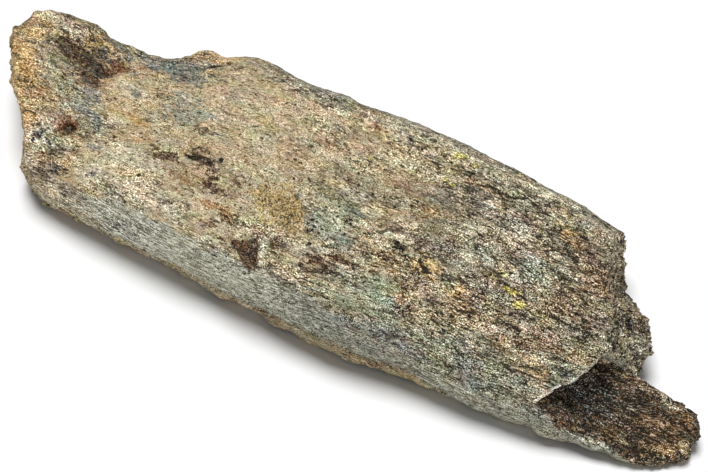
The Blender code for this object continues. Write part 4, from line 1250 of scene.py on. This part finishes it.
@dataclass(frozen=True)
class SandFinish:
    """Loose sand grains stuck in a crust, each in the colour that it carries."""

    name: str = "sandy_crust"
    speck: float = 0.25
    dark: Colour = (0.75, 0.73, 0.70)
    light: Colour = (1.15, 1.15, 1.12)
    bump_height: float = 0.0001
    roughness: float = 0.72

    def build(self) -> bpy.types.Material:
        """Makes the material.

        Returns:
            The finished material.
        """
        board = Board(self.name)
        speck = board.noise(board.place(), self.speck, 2.0, 0.6)
        shade = board.mixed(speck.step(0.3, 0.7), solid(self.dark), solid(self.light))
        colour = board.mixed(1.0, board.attribute("tone", "Color"), shade, "MULTIPLY")
        board.put(board.shader.inputs["Base Color"], colour)
        board.put(board.shader.inputs["Roughness"], self.roughness + 0.2 * (speck - 0.5))
        board.put(board.shader.inputs["Normal"], board.bump(speck, 0.6, self.bump_height))
        return board.material


@dataclass(frozen=True)
class FloorFinish:
    """Plain white board."""

    name: str = "white_board"
    colour: Colour = (0.90, 0.90, 0.90)
    mottle: Colour = (0.905, 0.905, 0.905)
    roughness: float = 0.9

    def build(self) -> bpy.types.Material:
        """Makes the material.

        Returns:
            The finished material.
        """
        board = Board(self.name)
        share = board.noise(board.place(), 40.0, 2.0)
        colour = board.mixed(share, solid(self.colour), solid(self.mottle))
        board.put(board.shader.inputs["Base Color"], colour)
        board.put(board.shader.inputs["Roughness"], self.roughness)
        board.put(board.shader.inputs["Specular IOR Level"], 0.0)
        return board.material


def placed(name: str, mesh: bpy.types.Mesh) -> bpy.types.Object:
    """Makes an object of a mesh, standing at the origin.

    Args:
        name: the object's name.
        mesh: the mesh.

    Returns:
        The object.
    """
    obj = bpy.data.objects.new(name, mesh)
    bpy.context.scene.collection.objects.link(obj)
    return obj


def settled(obj: bpy.types.Object) -> None:
    """Gives the object a new mesh with its modifiers done, and no modifiers.

    Args:
        obj: the object.
    """
    bpy.context.view_layer.update()
    graph = bpy.context.evaluated_depsgraph_get()
    mesh = bpy.data.meshes.new_from_object(obj.evaluated_get(graph))
    obj.modifiers.clear()
    obj.data = mesh


def keep(mesh: bpy.types.Mesh, name: str, values: np.ndarray) -> None:
    """Keeps a number or a colour for each point of a mesh.

    Args:
        mesh: the mesh.
        name: the name that the material reads it by.
        values: one number or three for each point.
    """
    if values.ndim == 1:
        made = mesh.attributes.new(name, "FLOAT", "POINT")
        made.data.foreach_set("value", values.astype(np.float32))
        return
    made = mesh.attributes.new(name, "FLOAT_COLOR", "POINT")
    four = np.hstack((values, np.ones((len(values), 1))))
    made.data.foreach_set("color", four.astype(np.float32).ravel())


class Coat:
    """The colours of the surface's points, which tones are laid over one after the other."""

    def __init__(self, count: int, tone: Tone) -> None:
        """Gives every point the one tone.

        Args:
            count: how many points there are.
            tone: the tone.
        """
        self.main = np.tile(np.array(tone.main), (count, 1))
        self.fleck = np.tile(np.array(tone.fleck), (count, 1))
        self.share = np.full(count, tone.share)

    def lay(self, tone: Tone, amount: np.ndarray) -> None:
        """Lays a tone over what is there.

        Args:
            tone: the tone.
            amount: how much of each point takes it, from 0 to 1.
        """
        amount = np.clip(amount, 0.0, 1.0)
        self.main += (np.array(tone.main) - self.main) * amount[:, None]
        self.fleck += (np.array(tone.fleck) - self.fleck) * amount[:, None]
        self.share += (tone.share - self.share) * amount


@dataclass
class BoneSection:
    """The bone's visible surface. Its heights and depths are in mm."""

    voxel: float = 0.62
    triangles: int = 190000
    finish: BoneFinish = field(default_factory=BoneFinish)

    # how high the relief stands, by what it is made of
    bundle: float = 0.10
    strand: float = 0.17
    crumb: float = 0.10
    broken_crumb: float = 0.32
    broken_knob: float = 0.46
    split_crumb: float = 0.40
    rim_swell: float = 0.20
    rim_knob: float = 0.44
    inner_fibre: float = 0.38
    inner_slab: float = 0.30
    # and how deep it lies
    groove_depth: float = 0.75
    chip_depth: float = 0.6
    pit_depth: float = 0.55
    snapped_depth: float = 0.40
    # the surface under this height rests on the ground
    resting: float = 0.12
    # patches narrower than this keep a cleaner edge
    narrow: float = 1.2

    # how far the front foot stands in, by x
    FOOT_SHIFT: ClassVar[Line] = (
        (-105.0, -92.0, 48.0, 66.0, 76.0, 100.0),
        (0.5, 1.6, 1.6, 0.7, 0.2, 0.3),
    )
    # the broad places with more pores, with an even crown, and with a coarser grain
    POOL: ClassVar[Patch] = Patch((-6.0, -5.0, 29.0), 14.0, 9.0, -10, Tone.MOSS, 0.45, 0.4)
    CROWN: ClassVar[Patch] = Patch((-46.0, 6.0, 28.0), 64.0, 32.0, -6, Tone.CLAY, 0.40, 0.4)
    COARSE: ClassVar[Patch] = Patch((40.0, 0.0, 28.0), 55.0, 30.0, 0, Tone.DRIFT, 0.12, 0.5)

    def skin(self) -> bpy.types.Object:
        """Makes an even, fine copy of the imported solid.

        Returns:
            The object of the copy.
        """
        bm = bmesh.new()
        bm.from_mesh(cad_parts["bone"].data)
        bmesh.ops.remove_doubles(bm, verts=bm.verts[:], dist=1e-6)
        bmesh.ops.recalc_face_normals(bm, faces=bm.faces[:])
        mesh = bpy.data.meshes.new("bone_section")
        bm.to_mesh(mesh)
        bm.free()
        if "custom_normal" in mesh.attributes:
            mesh.attributes.remove(mesh.attributes["custom_normal"])
        obj = placed("bone_section", mesh)
        rounder = obj.modifiers.new("rounder", "SUBSURF")
        rounder.levels = 1
        rounder.render_levels = 1
        even = obj.modifiers.new("even", "REMESH")
        even.mode = "VOXEL"
        even.voxel_size = self.voxel * MM
        settled(obj)
        return obj

    def ground(self, mesh: bpy.types.Mesh) -> Ground:
        """Where the mesh's vertices are in the drawing, and which way they face.

        Args:
            mesh: the mesh, in the frame.

        Returns:
            The surface at its vertices.
        """
        points = np.zeros(len(mesh.vertices) * 3)
        mesh.vertices.foreach_get("co", points)
        normals = np.zeros(len(mesh.vertices) * 3, np.float32)
        mesh.vertex_normals.foreach_get("vector", normals)
        drawn = points.reshape(-1, 3) / MM - np.array(DRAWN_AT)
        return Ground(drawn, normals.reshape(-1, 3).astype(float))

    def relief(self, ground: Ground) -> np.ndarray:
        """How far each point of the surface moves out, in mm.

        Args:
            ground: the surface's points.

        Returns:
            The move along the normal for each point.
        """
        points = ground.points
        broken = np.maximum(np.maximum(ground.snapped, ground.split), 0.7 * ground.inner)
        crumb = CRUMB.at(points)
        knob = KNOB.at(points)
        strand = self.strand * STRAND.at(points) * (1.0 - 0.5 * broken)
        out = self.bundle * BUNDLE.at(points) + strand * (1.0 - 0.5 * ground.front)
        out += self.crumb * crumb * (1.0 - 0.6 * ground.front)
        split = self.split_crumb * ground.split * crumb
        out += broken * (self.broken_crumb * crumb + self.broken_knob * knob) + split
        out += ground.rim * (self.rim_swell + self.rim_knob * knob + self.crumb * crumb)
        out -= self.groove_depth * ground.groove + self.chip_depth * smooth(-0.3, 0.5, ground.chip)
        fibres = self.inner_fibre * INNER_FIBRE.at(points) + self.inner_slab * SLAB.at(points)
        out += ground.inner * fibres
        out -= self.pit_depth * self.pitted(points) + self.snapped_depth * ground.snapped
        out += sum(swell.move(points) for swell in SWELLS)
        return out * (1.0 - 0.8 * ground.under)

    def shift(self, points: np.ndarray) -> np.ndarray:
        """Moves the front foot in, and the tongue's back corner forward.

        Args:
            points: the places of the points, in mm.

        Returns:
            How far each point moves along y, in mm.
        """
        x, y, z = points.T
        foot = np.interp(x, *self.FOOT_SHIFT) * smooth(9.0, 2.0, z) * smooth(-10.0, -24.0, y)
        corner = 1.1 * smooth(86.0, 93.0, x) + 2.0 * smooth(99.0, 107.0, x)
        return foot - corner * smooth(-16.0, -6.0, y)

    def pitted(self, points: np.ndarray) -> np.ndarray:
        """How deep each point lies in a pore or slit, from 0 to 1."""
        still = np.zeros(len(points))
        return np.max([pit.share(points, still) for pit in PITS.values()], axis=0)

    def carve(self, obj: bpy.types.Object) -> None:
        """Moves the surface into its relief, and keeps the underside on the ground.

        Args:
            obj: the copy of the solid.
        """
        mesh = obj.data
        ground = self.ground(mesh)
        moved = ground.points + ground.normals * self.relief(ground)[:, None]
        moved[:, 1] += self.shift(ground.points)
        moved[ground.points[:, 2] < self.resting, 2] = 0.0
        moved[:, 2] = np.maximum(moved[:, 2], 0.0)
        mesh.vertices.foreach_set("co", ((moved + np.array(DRAWN_AT)) * MM).ravel())
        mesh.update()
        group = obj.vertex_groups.new(name="underside")
        for index, weight in enumerate(ground.under):
            if weight > 0.02:
                group.add([index], float(weight), "REPLACE")

    def thin(self, obj: bpy.types.Object) -> None:
        """Takes faces away on the underside only, down to the number kept.

        Args:
            obj: the carved surface.
        """
        faces = sum(len(p.vertices) - 2 for p in obj.data.polygons)
        fewer = obj.modifiers.new("fewer", "DECIMATE")
        fewer.ratio = min(1.0, self.triangles / faces)
        fewer.use_collapse_triangulate = True
        fewer.vertex_group = "underside"
        fewer.vertex_group_factor = 10.0
        settled(obj)
        obj.vertex_groups.clear()
        for vert in obj.data.vertices:
            vert.co.z = max(vert.co.z, 0.0)

    def coated(self, ground: Ground, wide: np.ndarray, ragged: np.ndarray) -> Coat:
        """Lays the bone's tones on its points, the broad ones first and the torn end last.

        Args:
            ground: the surface's points.
            wide: broad noise at each point, for the edges of the fields.
            ragged: fine noise at each point, for the edges of the patches.

        Returns:
            The coat of colours.
        """
        points = ground.points
        x, _, z = points.T
        coat = Coat(len(points), Tone.TAN)
        for patch in FIELDS.values():
            coat.lay(patch.tone, patch.share(points, wide))
        wall = ground.wall
        shoulder = (ground.steep - ground.front) * smooth(-25.0, 5.0, x) * (1.0 - ground.inner)
        for tone, amount in (
            # the sides and the ends
            (Tone.SLATE, 0.75 * ground.back),
            (Tone.ASH, 0.75 * shoulder),
            (Tone.SLATE, 0.55 * shoulder * smooth(-0.3, 0.4, wide)),
            (Tone.DRIFT, 0.45 * wall),
            (Tone.FROST, 0.9 * wall * smooth(-86.0, -64.0, x + 4.0 * wide)),
            (Tone.ASH, 0.8 * wall * smooth(-50.0, -10.0, x + 8.0 * wide)),
            (Tone.SLATE, 0.66 * wall * smooth(-40.0, 4.0, x + 8.0 * wide)),
            (Tone.OCHRE, 0.8 * ground.snapped),
            # a paler tone on the broken end of the upper layer: partly its own colour, partly painted
            # light for a face the lights hardly reach
            (Tone.TAN, 0.8 * ground.split),
            # painted light: a paler upper back side, which faces away from the lights
            (Tone.STRAW, 0.45 * ground.back * smooth(19.0, 24.0, z) * smooth(0.0, 12.0, x)),
            # the rim and the groove over it
            (Tone.OCHRE, 0.55 * ground.rim),
            (Tone.DRIFT, 0.85 * ground.rim * smooth(-0.7, 0.2, ragged)),
            (Tone.UMBER, 0.40 * ground.rim * smooth(0.1, 0.7, wide)),
            # painted shade in the groove over the rim, over its darker bone
            (Tone.UMBER, 0.55 * ground.groove * smooth(-0.9, 0.2, wide)),
            # the foot and the underside
            # painted shade along the foot of the front side, where it meets the ground
            (Tone.SLATE, 0.8 * ground.front * (1.0 - smooth(0.6, 2.2, z))),
            (Tone.CLAY, 0.8 * ground.under),
            (Tone.RUST, 0.5 * ground.under * smooth(0.0, 0.6, wide)),
            (Tone.UMBER, ground.inner),
        ):
            coat.lay(tone, amount)
        for patch in TORN.values():
            coat.lay(patch.tone, patch.share(points, 0.7 * ragged))
        # the lip's pale broken edge with a painted highlight along it
        coat.lay(Tone.LIT_EDGE, 0.9 * ground.lip)
        return coat

    def stains(self, points: np.ndarray, ragged: np.ndarray) -> tuple[np.ndarray, np.ndarray]:
        """Mixes the patches and pits into one stain.

        Args:
            points: the places of the points, in mm.
            ragged: fine noise at each point, for the edges of the patches.

        Returns:
            The stain's colour and its share, for each point.
        """
        stain = np.tile(np.array(Tone.UMBER.main), (len(points), 1))
        share = np.zeros(len(points))
        for patch in (*PATCHES.values(), *PITS.values()):
            amount = patch.share(points, ragged if patch.across > self.narrow else 0.3 * ragged)
            both = np.maximum(share + amount - share * amount, 1e-6)
            stain += (np.array(patch.tone.main) - stain) * (amount / both)[:, None]
            share = both * (both > 2e-6)
        return stain, share

    def evenness(self, ground: Ground, wide: np.ndarray) -> np.ndarray:
        """How even the grain is.

        Args:
            ground: the surface's points.
            wide: broad noise at each point.

        Returns:
            A share for each point, below 0 where the grain is coarser than elsewhere.
        """
        x = ground.points[:, 0]
        calm = (0.44 - 0.40 * smooth(-42.0, -68.0, x)) * ground.front * (1.0 - ground.inner)
        crown = self.CROWN.share(ground.points, wide)
        even = np.maximum(np.maximum(calm, 0.42 * ground.rim), crown)
        even -= self.COARSE.share(ground.points, wide)
        return even + 0.15 * (ground.steep - ground.front) - 0.4 * ground.inner - 0.3 * ground.split

    def paint(self, mesh: bpy.types.Mesh) -> None:
        """Keeps the colours and the kinds of surface on the mesh's points.

        Args:
            mesh: the finished surface.
        """
        ground = self.ground(mesh)
        points, inner, rim = ground.points, ground.inner, ground.rim
        x = points[:, 0]
        wide = FIELD_EDGE.at(points)
        ragged = PATCH_EDGE.at(points) + 0.8 * PATCH_FRINGE.at(points)
        coat = self.coated(ground, wide, ragged)
        stain, stained = self.stains(points, ragged)
        pool = self.POOL.share(points, wide)
        left = 1.0 - smooth(-88.0, -55.0, x)
        wild = 0.18 * left + 0.9 * np.maximum(ground.snapped, ground.split) + 0.2 * rim + 0.45 * inner
        fade = 1.0 - 0.4 * smooth(-20.0, 15.0, x) - 0.35 * smooth(-64.0, -88.0, x)
        plain = [patch for patch in TORN.values() if patch.tone in PLAIN]
        spared = np.max([patch.share(points, 0.7 * ragged) for patch in plain], axis=0)
        # the relief's low places, which take dirt and painted shade
        low = smooth(-0.10, -0.42, self.relief(ground)) * (1.0 - 0.8 * ground.front)
        for name, values in (
            ("tone", coat.main),
            ("fleck", coat.fleck),
            ("fleck_share", coat.share),
            ("stain", stain),
            ("stain_share", stained * (1.0 - inner)),
            ("crumbs", 1.0 - 0.75 * inner),
            ("pored", 0.06 + pool + 0.12 * smooth(-40.0, 0.0, x) * ground.top),
            ("wild", np.clip(wild, 0.0, 1.0)),
            ("streaky", ground.wall * (1.0 - rim) * (1.0 - inner) * fade),
            ("inner", inner * (1.0 - 0.65 * spared)),
            ("chip", ground.chip),
            ("even", self.evenness(ground, wide)),
            ("low", 0.6 * low),
        ):
            keep(mesh, name, values)

    def build(self) -> bpy.types.Object:
        """Makes the bone's visible surface and puts it in the solid's place.

        Returns:
            The finished piece.
        """
        obj = self.skin()
        self.carve(obj)
        self.thin(obj)
        self.paint(obj.data)
        obj.data.name = "bone_section"
        obj.data.materials.clear()
        obj.data.materials.append(self.finish.build())
        obj.data.shade_smooth()
        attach(obj, "root")
        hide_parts("bone")
        return obj


@dataclass
class SandyCrust:
    """The thin patch of sand grains stuck to the top."""

    outline: tuple[tuple[float, float], ...] = (
        (-28.0, -3.0),
        (-22.0, -1.5),
        (-17.5, -3.0),
        (-14.5, -5.0),
        (-11.8, -8.0),
        (-11.8, -12.5),
        (-15.0, -15.5),
        (-19.0, -13.5),
        (-22.8, -13.0),
        (-25.5, -10.0),
        (-26.5, -6.5),
    )
    pale_side: Patch = Patch((-19.6, -15.4, 28.0), 7.0, 2.6, -20, Tone.PALE, 0.8, 0.6)
    pale_rim: Patch = Patch((-25.0, -3.0, 29.5), 6.0, 2.0, -12, Tone.PALE, 0.6, 0.6)
    grains: int = 2000
    radius: tuple[float, float] = (0.22, 0.42)
    # a grain's width and thickness as shares of its length, and how far it stands out of the bone
    width: tuple[float, float] = (0.7, 1.0)
    thickness: tuple[float, float] = (0.55, 0.85)
    lift: tuple[float, float] = (-0.25, 0.55)
    gold: tuple[Colour, ...] = (
        (0.560, 0.425, 0.200),
        (0.400, 0.295, 0.120),
        (0.250, 0.175, 0.065),
        (0.075, 0.050, 0.022),
    )
    pale: tuple[Colour, ...] = ((0.700, 0.620, 0.440), (0.500, 0.410, 0.250))
    pale_share: float = 0.10
    seed: int = 11
    finish: SandFinish = field(default_factory=SandFinish)

    def inside(self, x: float, y: float) -> bool:
        """Whether a place is inside the outline, by the edges that a line from it crosses.

        Args:
            x: its place along the bone, in mm.
            y: its place across the bone, in mm.

        Returns:
            True inside it.
        """
        crossed = False
        for (x0, y0), (x1, y1) in zip(self.outline, self.outline[1:] + self.outline[:1]):
            if (y0 > y) != (y1 > y) and x < x0 + (y - y0) / (y1 - y0) * (x1 - x0):
                crossed = not crossed
        return crossed

    def spot(self, chance: random.Random) -> tuple[float, float]:
        """The next place inside the frayed outline, by chance.

        Args:
            chance: the numbers to draw from.

        Returns:
            Its x and y, in mm.
        """
        low = [min(corner[k] for corner in self.outline) - 1.0 for k in (0, 1)]
        high = [max(corner[k] for corner in self.outline) + 1.0 for k in (0, 1)]
        while True:
            x, y = (chance.uniform(low[k], high[k]) for k in (0, 1))
            frayed = Vector((x, y, 0.0)) * 0.45
            bend = [1.3 * noise.noise(frayed + Vector((9.0 * k, 2.0, 5.0))) for k in (0, 1)]
            if self.inside(x + bend[0], y + bend[1]):
                return x, y

    def grain(self, chance: random.Random, hit: Vector, normal: Vector) -> tuple[float, Matrix]:
        """The radius of one grain and how it lies.

        Args:
            chance: the numbers to draw from.
            hit: the place on the bone, in m.
            normal: the way that the bone faces there.

        Returns:
            The radius in m, and the matrix that puts a ball of it in place.
        """
        size = chance.uniform(*self.radius) * MM
        shape = Matrix.Diagonal((1.0, chance.uniform(*self.width), chance.uniform(*self.thickness), 1.0))
        turn = Euler([chance.uniform(0.0, 6.28) for _ in range(3)]).to_matrix().to_4x4()
        return size, Matrix.Translation(hit + normal * size * chance.uniform(*self.lift)) @ turn @ shape

    def tone(self, chance: random.Random, x: float, y: float) -> Colour:
        """The colour of the grain at a place, by chance and paler along two of the crust's edges.

        Args:
            chance: the numbers to draw from.
            x: its place along the bone, in mm.
            y: its place across the bone, in mm.

        Returns:
            The colour.
        """
        spot = np.array([[x, y, 29.0]])
        still = np.zeros(1)
        paleness = max(self.pale_side.share(spot, still)[0], self.pale_rim.share(spot, still)[0])
        return chance.choice(self.pale if chance.random() < self.pale_share + paleness else self.gold)

    def build(self, bone: bpy.types.Object) -> bpy.types.Object:
        """Scatters the grains and sinks each a little way into the bone.

        Args:
            bone: the finished bone, which carries them.

        Returns:
            The finished piece.
        """
        chance = random.Random(self.seed)
        corners = [v.co for v in bone.data.vertices]
        tree = BVHTree.FromPolygons(corners, [p.vertices for p in bone.data.polygons])
        bm = bmesh.new()
        tones = []
        while len(tones) < self.grains:
            x, y = self.spot(chance)
            start = (Vector((x, y, 60.0)) + Vector(DRAWN_AT)) * MM
            hit, normal, _, _ = tree.ray_cast(start, Vector((0.0, 0.0, -1.0)))
            if hit is None:
                continue
            size, place = self.grain(chance, hit, normal)
            bmesh.ops.create_icosphere(bm, subdivisions=1, radius=size, matrix=place)
            tones.append(self.tone(chance, x, y))
        mesh = bpy.data.meshes.new("sandy_crust")
        bm.to_mesh(mesh)
        bm.free()
        each = len(mesh.vertices) // len(tones)
        keep(mesh, "tone", np.repeat(np.array(tones), each, 0))
        mesh.materials.append(self.finish.build())
        obj = placed("sandy_crust", mesh)
        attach(obj, "root")
        return obj


@dataclass(frozen=True)
class Lamp:
    """A broad soft light: where it stands, how strong it is and how wide it looks from the bone.

    The angles are in degrees and the strength is in watts per square metre.
    """

    name: str
    azimuth: float
    elevation: float
    strength: float
    width: float


@dataclass
class Studio:
    """The plain white floor, the soft lights and the camera at the photograph's place."""

    target: Place = (DRAWN_AT[0], DRAWN_AT[1], 16.0)
    azimuth: float = 27.0
    elevation: float = 55.0
    distance: float = 680.0
    lens: float = 120.0
    sensor: float = 36.0
    floor_size: float = 6.0
    sky: Colour = (0.94, 0.97, 1.0)
    sky_strength: float = 0.18
    key: Lamp = Lamp("key", 220.0, 74.0, 3.18, 29.0)
    # the two low lights, which reach the bone alone
    fills: tuple[Lamp, ...] = (
        Lamp("front_fill", 20.0, 18.0, 2.05, 40.0),
        Lamp("back_fill", 205.0, 22.0, 0.9, 40.0),
    )

    def away(self, azimuth: float, elevation: float) -> Vector:
        """The direction from the bone to something at those angles, in degrees."""
        a, e = math.radians(azimuth), math.radians(elevation)
        return Vector((math.sin(a) * math.cos(e), -math.cos(a) * math.cos(e), math.sin(e)))

    def camera(self) -> None:
        """Makes the camera and looks through it."""
        data = bpy.data.cameras.new("photo_camera")
        data.lens = self.lens
        data.sensor_width = self.sensor
        data.clip_end = 20.0
        obj = bpy.data.objects.new("photo_camera", data)
        bpy.context.scene.collection.objects.link(obj)
        back = self.away(self.azimuth, self.elevation)
        across = math.radians(self.azimuth)
        right = Vector((math.cos(across), math.sin(across), 0.0))
        turn = Matrix((right, back.cross(right), back)).transposed().to_4x4()
        place = Vector(self.target) * MM + back * self.distance * MM
        obj.matrix_world = Matrix.Translation(place) @ turn
        bpy.context.scene.camera = obj

    def floor(self) -> None:
        """Makes the floor."""
        bm = bmesh.new()
        bmesh.ops.create_grid(bm, x_segments=2, y_segments=2, size=self.floor_size / 2)
        mesh = bpy.data.meshes.new("floor")
        bm.to_mesh(mesh)
        bm.free()
        mesh.materials.append(FloorFinish().build())
        obj = placed("floor", mesh)

    def world(self) -> None:
        """Makes the soft light that comes from all round."""
        world = bpy.data.worlds.new("studio")
        world.use_nodes = True
        inputs = world.node_tree.nodes["Background"].inputs
        inputs["Color"].default_value = solid(self.sky)
        inputs["Strength"].default_value = self.sky_strength
        bpy.context.scene.world = world

    def sun(self, lamp: Lamp) -> bpy.types.Object:
        """Makes one light.

        Args:
            lamp: its place and strength.

        Returns:
            The light.
        """
        data = bpy.data.lights.new(lamp.name, "SUN")
        data.energy = lamp.strength
        data.angle = math.radians(lamp.width)
        obj = bpy.data.objects.new(lamp.name, data)
        obj.rotation_euler = self.away(lamp.azimuth, lamp.elevation).to_track_quat("Z", "Y").to_euler()
        bpy.context.scene.collection.objects.link(obj)
        return obj

    def build(self, lit: list[bpy.types.Object]) -> None:
        """Makes the floor, the lights, the soft surroundings and the camera.

        Args:
            lit: the pieces that the two low lights reach.
        """
        bpy.context.scene.view_settings.view_transform = "Standard"
        self.floor()
        self.camera()
        self.world()
        self.sun(self.key)
        reached = bpy.data.collections.new("bone_only")
        for obj in lit:
            reached.objects.link(obj)
        for lamp in self.fills:
            self.sun(lamp).light_linking.receiver_collection = reached


def main() -> None:
    """Builds the pieces in order and reports each."""
    logging.basicConfig(level=logging.INFO, format="%(message)s")
    bone = BoneSection().build()
    LOG.info("bone_section: %d faces", len(bone.data.polygons))
    crust = SandyCrust().build(bone)
    LOG.info("sandy_crust: %d faces", len(crust.data.polygons))
    Studio().build([bone, crust])
    LOG.info("studio: floor, three lights and the camera")


if __name__ == "__main__":
    main()
